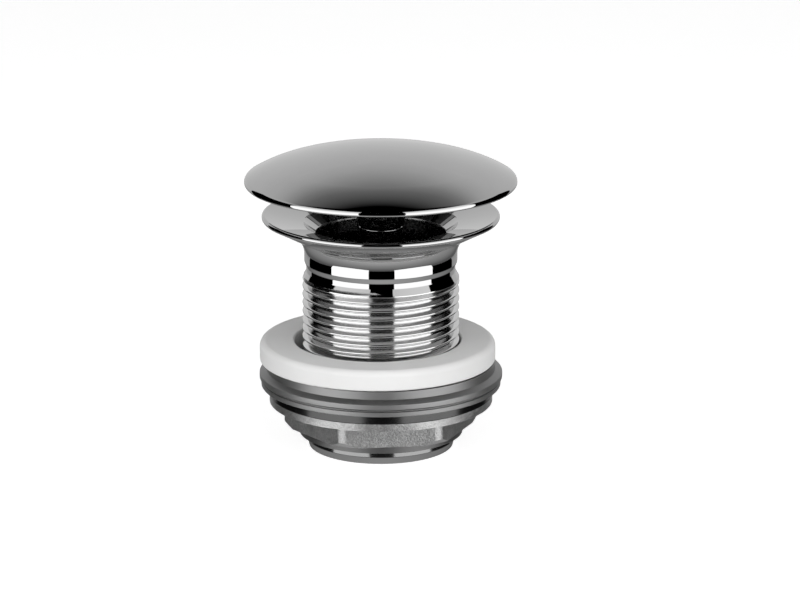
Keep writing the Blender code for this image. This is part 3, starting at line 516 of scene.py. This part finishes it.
def makeDrainBody(d):
    edge = d["rimEdge"] / 2
    lipZ = d["topZ"] - d["dishDrop"]
    rootR = d["crestR"] - d["threadDepth"] * d["pitch"]
    flareZ = d["collarZ"] + d["collarH"]
    coreR = rootR - d["coreSink"]
    landR = d["crestR"] - d["crestInset"]
    outline = [(d["boreR"], 0), (d["tipR"], 0)]
    outline += [(d["plainEndR"], d["tipH"]), (d["plainEndR"], d["plainEndH"])]
    outline += [(coreR, d["plainEndH"] + d["coreEnd"]), (coreR, d["threadTopZ"] - d["coreEnd"])]
    outline += [(landR, d["threadTopZ"] - d["crestLandH"]), (landR, d["threadTopZ"])]
    outline += [(d["neckR"], d["neckZ"]), (d["neckR"], d["neckZ"] + d["neckH"])]
    outline += [(d["collarR"], d["collarZ"])]
    outline += arcPoints((d["collarR"] + d["flareR"], flareZ), d["flareR"], 180, 112, 20)
    outline += arcPoints((d["flangeR"] - edge, d["topZ"] - edge), edge, -75, 90, 18)
    outline += [(d["lipR"], lipZ), (d["boreR"] + d["mouthW"], lipZ - d["funnelDrop"])]
    outline += [(d["boreR"], lipZ - d["funnelDrop"] - d["mouthH"])]
    body = turnOutline("drainBody", outline, d["steps"])
    roundEdges(body, d["edgeR"], 3, 11)
    rodLow, rodHigh = d["plainEndH"] + d["rodLowGap"], d["threadTopZ"] - d["rodHighGap"]
    rod = threadRod("threadRod", d, d["crestR"], rodLow, rodHigh)
    hollowR = rootR - d["rodWall"]
    hollow = [(0, -1 * mm), (hollowR, -1 * mm), (hollowR, d["topZ"]), (0, d["topZ"])]
    combine(rod, turnOutline("hollow", hollow, 96, closed=False), "DIFFERENCE")
    combine(body, rod, "UNION")
    combine(body, makeRunout(d), "DIFFERENCE")
    smooth(body, 28)
    return body


def paintBody(piece, d, threadMaterial, boreMaterial, endMaterial):
    # Cut threads, the cast bore and the plain end are less bright than the polished lands; the plain end's
    # darker tone is painted shade under the nut, and the darker tone of the bore and the run-out groove is
    # partly painted shade
    for material in (threadMaterial, boreMaterial, endMaterial):
        piece.data.materials.append(material)
    rootR = d["crestR"] - d["threadDepth"] * d["pitch"]
    for face in piece.data.polygons:
        place = face.center
        outward = math.hypot(place.x, place.y)
        climb = (place.z - d["threadTopZ"]) / (d["neckZ"] - d["threadTopZ"])
        coneR = d["crestR"] + (d["neckR"] - d["crestR"]) * climb
        inRunout = 0 < climb < 1 and d["boreR"] + 1 * mm < outward < coneR - 0.06 * mm
        # The run-out groove takes the bore's dark material as painted shade in the groove
        if inRunout:
            face.material_index = 2
        elif outward > rootR - 0.4 * mm and d["plainEndH"] < place.z < d["threadTopZ"]:
            face.material_index = 1
        elif outward < d["boreR"] + 0.1 * mm:
            face.material_index = 2
        # The plain end just under the nut is darkened with painted shade
        elif d["tipH"] < place.z < d["plainEndH"]:
            face.material_index = 3


body = makeDrainBody(drainBody)
seat(body, "drain_body", "chrome", chromePlate, "flanged_body")
paintBody(body, drainBody, threadPlate, boreCastPaintedShade, plainEndPaintedShade)
print("drain body turned and threaded:", len(body.data.polygons), "faces")


# Spider in the bore: a hub on four arms, cast with the body

hubRing = {
    "outerR": 12.0 * mm,
    "innerR": 9.85 * mm,
    "lowZ": 40.4 * mm,
    "highZ": 48.4 * mm,
    "armCount": 4,
    "armFirstDeg": 45.0,
    "armW": 3.0 * mm,
    "armH": 6.0 * mm,
    "armSink": 0.4 * mm,       # how far an arm's root goes into the bore's wall
}


def makeSpider(d, boreR):
    outline = [(d["innerR"], d["lowZ"]), (d["outerR"], d["lowZ"])]
    outline += [(d["outerR"], d["highZ"]), (d["innerR"], d["highZ"])]
    hub = turnOutline("spider", outline, 96)
    inner = (d["innerR"] + d["outerR"]) / 2
    outer = boreR + d["armSink"]
    for i in range(d["armCount"]):
        clearSelection()
        bpy.ops.mesh.primitive_cube_add(size=1)
        arm = bpy.context.object
        bpy.ops.object.mode_set(mode="EDIT")
        bpy.ops.transform.resize(value=(outer - inner, d["armW"], d["armH"]))
        bpy.ops.transform.translate(value=((outer + inner) / 2, 0, d["lowZ"] + d["armH"] / 2))
        turn = math.radians(d["armFirstDeg"] + 360 * i / d["armCount"])
        bpy.ops.transform.rotate(value=-turn, orient_axis="Z", center_override=(0, 0, 0))
        leaveEdit()
        combine(hub, arm, "UNION")
    roundEdges(hub, 0.35 * mm)
    smooth(hub)
    return hub


spider = makeSpider(hubRing, drainBody["boreR"])
# The spider deep in the bore takes the bore's dark tone, partly painted shade
seat(spider, "drain_body", "chrome", boreCastPaintedShade)
print("spider made")


# Cap: a thin dome with a short upright rim

capLow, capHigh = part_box("cap_dome")
cap = {
    "rimR": capHigh.x,
    "rimZ": capLow.z,
    "topZ": capHigh.z,
    "bandH": 0.6 * mm,         # straight part of the rim
    "cornerR": 1.3 * mm,
    "shoulderR": 41.1 * mm,
    "crownR": 92.3 * mm,
    "crownInset": 9.3 * mm,    # from the rim to where the crown begins
    "wall": 1.2 * mm,
    "edgeR": 0.4 * mm,         # at the rim's lower edge
    "steps": 256,
}


def makeCap(d):
    # Three arcs that run into each other: crown, shoulder and corner, with an even wall inside
    corner = (d["rimR"] - d["cornerR"], d["rimZ"] + d["bandH"])
    crownEdge = d["rimR"] - d["crownInset"]
    crownDeg = math.degrees(math.acos(crownEdge / d["crownR"]))
    reach = d["crownR"] - d["shoulderR"]
    shoulderX = reach * math.cos(math.radians(crownDeg))
    cornerReach = d["shoulderR"] - d["cornerR"]
    shoulderZ = corner[1] - math.sqrt(cornerReach ** 2 - (corner[0] - shoulderX) ** 2)
    crownZ = shoulderZ - reach * math.sin(math.radians(crownDeg))
    cornerDeg = math.degrees(math.atan2(corner[1] - shoulderZ, corner[0] - shoulderX))
    innerR = d["rimR"] - d["wall"]
    innerDeg = math.degrees(math.acos((innerR - shoulderX) / (d["shoulderR"] - d["wall"])))
    outline = arcPoints((0, crownZ), d["crownR"], 90, crownDeg, 26)
    outline += arcPoints((shoulderX, shoulderZ), d["shoulderR"], crownDeg, cornerDeg, 16)[1:]
    outline += arcPoints(corner, d["cornerR"], cornerDeg, 0, 8)[1:]
    edge = d["edgeR"]
    outline += arcPoints((d["rimR"] - edge, d["rimZ"] + edge), edge, 0, -90, 4)
    outline += [(innerR, d["rimZ"])]
    outline += arcPoints((shoulderX, shoulderZ), d["shoulderR"] - d["wall"], innerDeg, crownDeg, 12)
    outline += arcPoints((0, crownZ), d["crownR"] - d["wall"], crownDeg, 90, 20)[1:]
    piece = turnOutline("cap", outline, d["steps"], closed=False)
    smooth(piece, 50)
    return piece


capShell = makeCap(cap)
seat(capShell, "plunger", "chrome", chromePlate, "cap_dome")
print("cap made:", len(capShell.data.polygons), "faces")


# Boss under the cap, cast, and the turned stem below it

bossLow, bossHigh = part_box("cap_boss")
boss = {
    "r": 7.7 * mm,
    "lowR": 6.4 * mm,
    "lowZ": bossLow.z,
    "highZ": bossHigh.z,
    "flangeR": bossHigh.x,
    "flangeH": 2.7 * mm,
    "boreR": 4.3 * mm,
    "boreH": 11.3 * mm,
    "steps": 96,
}
stemLow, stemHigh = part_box("plunger_stem")
stem = {
    "r": stemHigh.x,
    "highZ": stemHigh.z,
    "shoulderZ": 42.2 * mm,
    "spindleR": 3.0 * mm,
    "lowZ": stemLow.z,
    "topEdge": 0.3 * mm,
    "holeR": 4.3 * mm,
    "holeZ": 49.6 * mm,
    "grooveR": 2.6 * mm,
    "grooveLowZ": 34.55 * mm,
    "grooveHighZ": 35.45 * mm,
    "steps": 96,
}


def makeBoss(d, domeTopZ, sphereR):
    flangeZ = d["highZ"] - d["flangeH"]
    outline = [(d["boreR"], d["lowZ"]), (d["lowR"], d["lowZ"]), (d["r"], flangeZ), (d["flangeR"], flangeZ)]
    under = domeTopZ - sphereR
    for i in range(9):
        r = d["flangeR"] * (1 - i / 8)
        outline.append((r, under + math.sqrt(sphereR ** 2 - r ** 2)))
    outline += [(0, d["lowZ"] + d["boreH"]), (d["boreR"], d["lowZ"] + d["boreH"])]
    piece = turnOutline("capBoss", outline, d["steps"])
    smooth(piece)
    return piece


capBoss = makeBoss(boss, bossHigh.z, cap["crownR"] - cap["wall"] - 0.3 * mm)
# The boss's dark tone is partly painted shade under the cap
seat(capBoss, "plunger", "chrome", bossCastPaintedShade, "cap_boss")


def makeStem(d):
    outline = [(0, d["lowZ"]), (d["spindleR"], d["lowZ"]), (d["spindleR"], d["grooveLowZ"])]
    outline += [(d["grooveR"], d["grooveLowZ"]), (d["grooveR"], d["grooveHighZ"])]
    outline += [(d["spindleR"], d["grooveHighZ"]), (d["spindleR"], d["shoulderZ"])]
    outline += [(d["r"], d["shoulderZ"]), (d["r"], d["highZ"] - d["topEdge"])]
    outline += [(d["r"] - d["topEdge"], d["highZ"]), (d["holeR"], d["highZ"])]
    outline += [(d["holeR"], d["holeZ"]), (0, d["holeZ"])]
    piece = turnOutline("plungerStem", outline, d["steps"], closed=False)
    roundEdges(piece, 0.15 * mm)
    smooth(piece)
    return piece


plungerStem = makeStem(stem)
seat(plungerStem, "plunger", "chrome", chromePlate, "plunger_stem")
print("boss and stem made")


# Return spring in the cartridge: closed ends and even coils

springLow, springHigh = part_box("return_spring")
returnSpring = {
    "lowZ": springLow.z,
    "highZ": springHigh.z,
    "outerR": springHigh.x,
    "wire": 0.9 * mm,
    "turns": 7,
    "closed": 1.12,            # pitch of the end turns, in wires
    "stroke": 8.0 * mm,        # how far the cap's travel shortens it
    "steps": 48,               # round one turn
    "sides": 12,               # round the wire
}


def makeSpring(d):
    # A round wire screwed upwards, whose rings are then set to the real pitch
    clearSelection()
    bpy.ops.mesh.primitive_circle_add(vertices=d["sides"], radius=d["wire"] / 2)
    piece = bpy.context.object
    piece.name = "returnSpring"
    bpy.ops.object.mode_set(mode="EDIT")
    bpy.ops.transform.rotate(value=math.radians(90), orient_axis="X", center_override=(0, 0, 0))
    bpy.ops.transform.translate(value=(d["outerR"] - d["wire"] / 2, 0, 0))
    leaveEdit()
    screw = piece.modifiers.new("screw", "SCREW")
    screw.angle = 2 * math.pi
    screw.screw_offset = d["wire"]
    screw.iterations = d["turns"]
    screw.steps = d["steps"]
    screw.render_steps = d["steps"]
    screw.use_merge_vertices = False
    applyModifier(piece, screw)
    low, high = d["lowZ"] + d["wire"] / 2, d["highZ"] - d["wire"] / 2
    closed = d["closed"] * d["wire"]
    for i, vertex in enumerate(piece.data.vertices):
        turn = (i // d["sides"]) / d["steps"]
        if turn < 1:
            z = low + closed * turn
        elif turn > d["turns"] - 1:
            z = high - closed * (d["turns"] - turn)
        else:
            z = low + closed + (high - low - 2 * closed) * (turn - 1) / (d["turns"] - 2)
        vertex.co.z += z - turn * d["wire"]
    editAll(piece)
    bpy.ops.mesh.fill_holes(sides=0)
    bpy.ops.mesh.select_all(action="SELECT")
    bpy.ops.mesh.normals_make_consistent(inside=False)
    leaveEdit()
    smooth(piece, 50)
    return piece


springPiece = makeSpring(returnSpring)
seat(springPiece, "drain_body", "steel", springSteel, "return_spring")
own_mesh(springPiece)
print("return spring wound:", len(springPiece.data.polygons), "faces")


# White gasket under the basin

gasketLow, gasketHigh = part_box("white_gasket")
gasket = {
    "r": (gasketHigh.x - gasketLow.x) / 2,
    "middleX": (gasketHigh.x + gasketLow.x) / 2,   # it hangs loose, a little off the tube's axis
    "holeR": 22.2 * mm,
    "lowZ": gasketLow.z,
    "highZ": gasketHigh.z,
    "edgeR": 1.8 * mm,
    "lowEdgeR": 0.5 * mm,
    "holeEdgeR": 0.6 * mm,
    "steps": 192,
}


def makeGasket(d):
    top, low, out, hole = d["edgeR"], d["lowEdgeR"], d["r"], d["holeR"]
    outline = arcPoints((out - low, d["lowZ"] + low), low, -90, 0, 4)
    outline += arcPoints((out - top, d["highZ"] - top), top, 0, 90, 10)
    outline += arcPoints((hole + d["holeEdgeR"], d["highZ"] - d["holeEdgeR"]), d["holeEdgeR"], 90, 180, 4)
    outline += [(hole, d["lowZ"])]
    piece = turnOutline("gasket", outline, d["steps"])
    editAll(piece)
    bpy.ops.transform.translate(value=(d["middleX"], 0, 0))
    leaveEdit()
    smooth(piece, 40)
    return piece


gasketPiece = makeGasket(gasket)
seat(gasketPiece, "clamp_set", "white_rubber", gasketFoam, "white_gasket")


# Pressure ring between the gasket and the nut

ringLow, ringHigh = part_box("pressure_ring")
ring = {
    "r": ringHigh.x,
    "lowZ": ringLow.z,
    "highZ": ringHigh.z,
    "boreR": 21.305 * mm,
    "beadR": 32.05 * mm,
    "beadH": 1.3 * mm,
    "grooveR": 31.55 * mm,
    "grooveH": 0.75 * mm,
    "rimH": 1.4 * mm,
    "slopeH": 0.9 * mm,
    "seatR": 30.6 * mm,
    "steps": 192,
}


def makeRing(d):
    beadTop = d["lowZ"] + d["beadH"]
    rimLow = beadTop + d["grooveH"]
    rimTop = rimLow + d["rimH"]
    outline = [(d["boreR"], d["lowZ"]), (d["beadR"], d["lowZ"]), (d["beadR"], beadTop)]
    outline += [(d["grooveR"], beadTop), (d["grooveR"], beadTop + d["grooveH"] / 2)]
    outline += [(d["r"], rimLow), (d["r"], rimTop), (d["seatR"], rimTop + d["slopeH"])]
    outline += [(d["seatR"], d["highZ"]), (d["boreR"], d["highZ"])]
    piece = turnOutline("pressureRing", outline, d["steps"])
    roundEdges(piece, 0.25 * mm, 4, 15)
    smooth(piece)
    return piece


pressureRing = makeRing(ring)
seat(pressureRing, "clamp_set", "chrome", ringPlate, "pressure_ring")
print("gasket and pressure ring made")


# Lock nut: cast hexagon with a turned disc above and a turned collar below

nutLow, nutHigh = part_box("lock_nut")
nut = {
    "lowZ": nutLow.z,
    "highZ": nutHigh.z,
    "across": 46.0 * mm,
    "cornerR": 3.2 * mm,
    "faceTurnDeg": 7.3,
    "collarR": 21.9 * mm,
    "collarH": 2.1 * mm,
    "discR": nutHigh.x,
    "cornerCut": 1.6 * mm,     # end face left outside the flats by the corners' chamfer
    "discH": 4.3 * mm,
    "rawH": 1.95 * mm,
    "rawStep": 0.25 * mm,
    "boreR": 21.305 * mm,
    "steps": 192,
}


def makeNut(d):
    discZ = d["highZ"] - d["discH"]
    hexZ = d["lowZ"] + d["collarH"]
    clearSelection()
    corner = d["across"] / math.sqrt(3)
    bpy.ops.mesh.primitive_circle_add(vertices=6, radius=corner, fill_type="NGON")
    hexagon = bpy.context.object
    hexagon.name = "lockNutHex"
    bpy.ops.object.mode_set(mode="EDIT")
    turn = math.radians(-90 + d["faceTurnDeg"])
    bpy.ops.transform.rotate(value=-turn, orient_axis="Z", center_override=(0, 0, 0))
    bpy.ops.transform.translate(value=(0, 0, hexZ))
    setback = d["cornerR"] * (2 / math.sqrt(3) - 1) / (1 - math.sqrt(3) / 2) / 2
    bpy.ops.mesh.bevel(offset=setback, affect="VERTICES", segments=8)
    bpy.ops.mesh.extrude_region_move(
        TRANSFORM_OT_translate={"value": (0, 0, discZ - hexZ + d["rawH"] / 2)}
    )
    bpy.ops.mesh.select_all(action="SELECT")
    bpy.ops.mesh.normals_make_consistent(inside=False)
    leaveEdit()
    reach = d["across"] * 0.65
    end = d["across"] / 2 + d["cornerCut"]
    cone = [(0, hexZ), (end, hexZ), (reach, hexZ + reach - end), (reach, d["highZ"]), (0, d["highZ"])]
    combine(hexagon, turnOutline("coneTool", cone, d["steps"], closed=False), "INTERSECT")
    collar = [(0, d["lowZ"]), (d["collarR"], d["lowZ"]), (d["collarR"], hexZ + 1 * mm), (0, hexZ + 1 * mm)]
    combine(hexagon, turnOutline("collarTool", collar, d["steps"], closed=False), "UNION")
    raw = d["discR"] - d["rawStep"]
    stepZ = discZ + d["rawH"]
    disc = [(0, discZ), (raw, discZ), (raw, stepZ), (d["discR"], stepZ + d["rawStep"])]
    disc += [(d["discR"], d["highZ"]), (0, d["highZ"])]
    combine(hexagon, turnOutline("discTool", disc, d["steps"], closed=False), "UNION")
    bore = [(0, d["lowZ"] - 1 * mm), (d["boreR"], d["lowZ"] - 1 * mm)]
    bore += [(d["boreR"], d["highZ"] + 1 * mm), (0, d["highZ"] + 1 * mm)]
    combine(hexagon, turnOutline("boreTool", bore, d["steps"], closed=False), "DIFFERENCE")
    roundEdges(hexagon, 0.22 * mm, 3, 35)
    smooth(hexagon)
    hexagon.name = "lockNut"
    return hexagon


def paintTurned(piece, d, discMaterial, collarMaterial):
    # The disc's upper band and the collar are turned, the rest keeps its cast skin; the disc band's dark
    # tone also holds painted shade from the pressure ring above it
    piece.data.materials.append(discMaterial)
    piece.data.materials.append(collarMaterial)
    edge = d["highZ"] - d["discH"] + d["rawH"]
    for face in piece.data.polygons:
        place = face.center
        outward = math.hypot(place.x, place.y)
        onCollar = place.z < d["lowZ"] + d["collarH"] and outward < d["collarR"] + 0.05 * mm
        if onCollar:
            face.material_index = 2
        elif place.z > edge or outward < d["boreR"] + 0.05 * mm:
            face.material_index = 1


lockNut = makeNut(nut)
seat(lockNut, "nut", "raw_nickel", nutCast, "lock_nut")
paintTurned(lockNut, nut, nutTurnedPaintedShade, collarDull)
print("lock nut made:", len(lockNut.data.polygons), "faces")


# Floor, world, lamps and camera

studio = {
    "floorSize": 8.0,
    "floorGap": 0.1 * mm,      # below the tube's end, so that the two faces don't lie in one plane
    "lampDistance": 0.75,
    "lampSides": [("Left", -48.2, 0.88), ("Right", 52.1, 0.923)],   # degrees round from the view, width
    "lampHeight": 1.18,
    "lampRaise": 0.256,
    "lampLevel": 2.1,
    "lampTones": [(0.0, 1.0), (0.36, 1.0), (0.5, 0.86), (0.7, 0.6), (1.0, 0.5)],
    "lampLight": 0.85,         # share of that level that lights what is not polished
    "topLevel": 0.16,
    "frontLevel": 2.2,
    "worldFill": 0.16,
    "wallR": 1.6,
    "wallLow": -0.53,
    "wallHigh": 1.0,
    "frontBlackDeg": 135.0,    # the dark part of the tent ends this far round from the view
    "backLow": 0.5,            # share of the light that is left near the table
    "roofBend": 1.3,           # the roof stays dark further back in the middle than at the sides
    "roofTones": [
        (0.31, 0.0), (0.45, 0.12), (0.58, 0.22), (0.66, 0.33), (0.73, 0.47), (0.8, 0.6), (0.87, 0.68),
        (0.97, 0.72),
    ],
    "tableTones": [(0.0, 0.72), (0.1, 0.7), (0.23, 0.58), (0.37, 0.42), (0.5, 0.34), (0.8, 0.15)],
    "cameraDistance": 1.25,
    "cameraUpDeg": 15.7,
    "cameraLens": 210.9,
    "aim": (5.1 * mm, 0.0, 39.77 * mm),
}


def whiteToEye(tree, seen, unseen):
    # seen for camera, glossy and transmission rays, unseen for the light that reaches the object
    path = tree.nodes.new("ShaderNodeLightPath")
    eye = mathNode(tree, "ADD", path.outputs["Is Camera Ray"], path.outputs["Is Glossy Ray"], True)
    eye = mathNode(tree, "ADD", eye, path.outputs["Is Transmission Ray"], True)
    return rangeNode(tree, eye, unseen, seen)


def makeWorld(s):
    world = bpy.data.worlds.new("studioAir")
    bpy.context.scene.world = world
    world.use_nodes = True
    background = world.node_tree.nodes["Background"]
    background.inputs["Color"].default_value = (1, 1, 1, 1)
    strength = whiteToEye(world.node_tree, 1.0, s["worldFill"])
    world.node_tree.links.new(strength, background.inputs["Strength"])


def hideFromAllButGloss(thing):
    thing.visible_camera = False
    thing.visible_diffuse = False
    thing.visible_shadow = False
    thing.visible_transmission = False


def makeFloor(s):
    clearSelection()
    bpy.ops.mesh.primitive_plane_add(size=s["floorSize"], location=(0, 0, -s["floorGap"]))
    floor = bpy.context.object
    floor.name = "floor"
    bpy.ops.object.transform_apply(location=True)
    material, tree, shader = newMaterial("paleFloor")
    marks = addGroup(tree, handlingMarks, Cloud_Scale=3.0)
    tint = tintNode(tree, marks.outputs["Cloud"], (0.74,) * 3, (0.76,) * 3)
    tree.links.new(tint, shader.inputs["Base Color"])
    shader.inputs["Roughness"].default_value = 0.9
    shader.inputs["Specular IOR Level"].default_value = 0.0
    shader.inputs["Emission Color"].default_value = (1, 1, 1, 1)
    tree.links.new(whiteToEye(tree, 0.72, 0.0), shader.inputs["Emission Strength"])
    clear = tree.nodes.new("ShaderNodeBsdfTransparent")   # seen through from below only
    side = tree.nodes.new("ShaderNodeMixShader")
    tree.links.new(tree.nodes.new("ShaderNodeNewGeometry").outputs["Backfacing"], side.inputs["Fac"])
    tree.links.new(shader.outputs[0], side.inputs[1])
    tree.links.new(clear.outputs[0], side.inputs[2])
    tree.links.new(side.outputs[0], tree.nodes["Material Output"].inputs["Surface"])
    floor.data.materials.append(material)
    floor.visible_glossy = False   # polished metal mirrors the tent's table instead


def glowMaterial(name, makeLevel):
    material = bpy.data.materials.new(name)
    material.use_nodes = True
    tree = material.node_tree
    tree.nodes.remove(tree.nodes["Principled BSDF"])
    glow = tree.nodes.new("ShaderNodeEmission")
    tree.links.new(glow.outputs[0], tree.nodes["Material Output"].inputs["Surface"])
    makeLevel(tree, glow)
    return material


def toneRamp(tree, value, tones):
    # Greys along a value, given as (place, level)
    ramp = tree.nodes.new("ShaderNodeValToRGB")
    tree.links.new(value, ramp.inputs["Fac"])
    stops = ramp.color_ramp.elements
    while len(stops) < len(tones):
        stops.new(0.5)
    for stop, (place, tone) in zip(stops, tones):
        stop.position = place
        stop.color = (tone, tone, tone, 1)
    return ramp.outputs["Color"]


def clothTone(tree, s):
    # The cloth grows darker from the back, over the waste, to the front, and later so in the middle
    aim = tree.nodes.new("ShaderNodeVectorMath")
    aim.operation = "NORMALIZE"
    tree.links.new(objectPlace(tree), aim.inputs[0])
    parts = tree.nodes.new("ShaderNodeSeparateXYZ")
    tree.links.new(aim.outputs["Vector"], parts.inputs[0])
    across = mathNode(tree, "MULTIPLY", parts.outputs["X"], parts.outputs["X"])
    bent = mathNode(tree, "MULTIPLY", across, s["roofBend"])
    return toneRamp(tree, mathNode(tree, "ADD", parts.outputs["Y"], bent), s["roofTones"])


def makeTent(s):
    # Black cloth round the front and overhead, seen by the polished metal only
    clearSelection()
    bpy.ops.mesh.primitive_cylinder_add(
        vertices=180, radius=s["wallR"], depth=s["wallHigh"] - s["wallLow"], end_fill_type="NOTHING",
        location=(0, 0, (s["wallHigh"] + s["wallLow"]) / 2),
    )
    wall = bpy.context.object
    wall.name = "tentWall"
    bpy.ops.object.transform_apply(location=True)

    def wallLevel(tree, glow):
        parts = tree.nodes.new("ShaderNodeSeparateXYZ")
        tree.links.new(objectPlace(tree), parts.inputs[0])
        edge = -math.cos(math.radians(s["frontBlackDeg"])) * s["wallR"]
        behind = mathNode(tree, "GREATER_THAN", parts.outputs["Y"], edge)
        rise = tree.nodes.new("ShaderNodeMapRange")
        rise.inputs["From Min"].default_value = s["wallLow"]
        rise.inputs["From Max"].default_value = 0
        rise.inputs["To Min"].default_value = s["backLow"]
        tree.links.new(parts.outputs["Z"], rise.inputs["Value"])
        tree.links.new(clothTone(tree, s), glow.inputs["Color"])
        tree.links.new(mathNode(tree, "MULTIPLY", behind, rise.outputs["Result"]), glow.inputs["Strength"])

    wall.data.materials.append(glowMaterial("tentCloth", wallLevel))
    hideFromAllButGloss(wall)

    clearSelection()
    bpy.ops.mesh.primitive_uv_sphere_add(segments=64, ring_count=32, radius=s["wallR"])
    roof = bpy.context.object
    roof.name = "tentRoof"
    bpy.ops.object.mode_set(mode="EDIT")
    bpy.ops.mesh.select_all(action="SELECT")
    bpy.ops.mesh.bisect(plane_co=(0, 0, 0), plane_no=(0, 0, 1), clear_inner=True)
    bpy.ops.mesh.select_all(action="SELECT")
    bpy.ops.transform.translate(value=(0, 0, s["wallHigh"]))
    leaveEdit()

    def roofLevel(tree, glow):
        tree.links.new(clothTone(tree, s), glow.inputs["Color"])

    roof.data.materials.append(glowMaterial("tentRoofCloth", roofLevel))
    hideFromAllButGloss(roof)

    clearSelection()
    bpy.ops.mesh.primitive_circle_add(
        vertices=64, radius=s["wallR"], fill_type="NGON", location=(0, 0, s["wallLow"]),
    )
    table = bpy.context.object
    table.name = "tentTable"
    bpy.ops.object.transform_apply(location=True)

    def tableLevel(tree, glow):
        # Palest right below the waste
        flat = tree.nodes.new("ShaderNodeVectorMath")
        flat.operation = "MULTIPLY"
        flat.inputs[1].default_value = (1 / s["wallR"], 1 / s["wallR"], 0)
        tree.links.new(objectPlace(tree), flat.inputs[0])
        outward = tree.nodes.new("ShaderNodeVectorMath")
        outward.operation = "LENGTH"
        tree.links.new(flat.outputs["Vector"], outward.inputs[0])
        tree.links.new(toneRamp(tree, outward.outputs["Value"], s["tableTones"]), glow.inputs["Color"])

    table.data.materials.append(glowMaterial("tentTableCloth", tableLevel))
    hideFromAllButGloss(table)


def areaLamp(name, place, target, width, height, level):
    data = bpy.data.lights.new(name, "AREA")
    data.shape = "RECTANGLE"
    data.size = width
    data.size_y = height
    data.energy = level * math.pi * width * height   # level is the radiance that the metal mirrors
    lamp = bpy.data.objects.new(name, data)
    bpy.context.scene.collection.objects.link(lamp)
    lamp.location = place
    lamp.rotation_euler = (Vector(target) - Vector(place)).to_track_quat("-Z", "Y").to_euler()
    return lamp


def makeSoftbox(s, side, azimuthDeg, width):
    # The lamp lights the waste, and a glowing sheet in its place, dimmer upwards, is what metal mirrors
    a = math.radians(azimuthDeg)
    place = (s["lampDistance"] * math.sin(a), -s["lampDistance"] * math.cos(a), s["lampRaise"])
    light = s["lampLevel"] * s["lampLight"]
    lamp = areaLamp("softbox" + side, place, (0, 0, s["lampRaise"]), width, s["lampHeight"], light)
    lamp.visible_glossy = False
    clearSelection()
    bpy.ops.mesh.primitive_plane_add(size=1)
    sheet = bpy.context.object
    sheet.name = "softboxSheet" + side
    bpy.ops.object.mode_set(mode="EDIT")
    bpy.ops.transform.resize(value=(width, s["lampHeight"], 1))
    bpy.ops.transform.rotate(value=math.radians(-90), orient_axis="X", center_override=(0, 0, 0))
    bpy.ops.transform.rotate(value=-a, orient_axis="Z", center_override=(0, 0, 0))
    bpy.ops.transform.translate(value=place)
    leaveEdit()

    def sheetLevel(tree, glow):
        parts = tree.nodes.new("ShaderNodeSeparateXYZ")
        tree.links.new(objectPlace(tree), parts.inputs[0])
        rise = mathNode(tree, "SUBTRACT", parts.outputs["Z"], s["lampRaise"] - s["lampHeight"] / 2)
        rise = mathNode(tree, "DIVIDE", rise, s["lampHeight"])
        tree.links.new(toneRamp(tree, rise, s["lampTones"]), glow.inputs["Color"])
        glow.inputs["Strength"].default_value = s["lampLevel"]

    sheet.data.materials.append(glowMaterial("softboxCloth" + side, sheetLevel))
    hideFromAllButGloss(sheet)


def makeLamps(s):
    for side, azimuthDeg, width in s["lampSides"]:
        makeSoftbox(s, side, azimuthDeg, width)
    top = areaLamp("topFill", (0, 0.1, 1.2), (0, 0, 0), 1.4, 1.4, s["topLevel"])
    front = areaLamp("frontFill", (0, -1.6, 0.3), (0, 0, 0.03), 1.2, 0.8, s["frontLevel"])
    for lamp in (top, front):
        lamp.visible_glossy = False


def makeCamera(s):
    data = bpy.data.cameras.new("camera")
    data.lens = s["cameraLens"]
    data.sensor_width = 36
    data.clip_start = 0.05
    data.clip_end = 50
    camera = bpy.data.objects.new("camera", data)
    bpy.context.scene.collection.objects.link(camera)
    up = math.radians(s["cameraUpDeg"])
    aim = Vector(s["aim"])
    camera.location = aim + s["cameraDistance"] * Vector((0, -math.cos(up), math.sin(up)))
    camera.rotation_euler = (aim - camera.location).to_track_quat("-Z", "Y").to_euler()
    bpy.context.scene.camera = camera


makeWorld(studio)
makeFloor(studio)
makeTent(studio)
makeLamps(studio)
makeCamera(studio)
bpy.context.scene.view_settings.view_transform = "Standard"
print("studio and camera set")


# CAD nodes that are shown as they are

finishes = {
    "darkRubber": ["cap_seal", "cartridge_washer", "stem_seal"],
    # The cartridge housing takes the near-black metal, whose tone is painted shade under the cap
    "paintedShadeNickel": ["cartridge_housing"],
    "turnedBrass": ["end_plug"],
    "whiteAcetal": ["guide_bush", "cam_sleeve"],
    "greyPlastic": ["cam_rotor", "seal_retainer"],
    "springSteel": ["retaining_clip", "rotor_clip", "adjusting_stud", "thrust_washer"],
}
for materialName, members in finishes.items():
    for member in members:
        giveMaterial(nodes[member], bpy.data.materials[materialName])
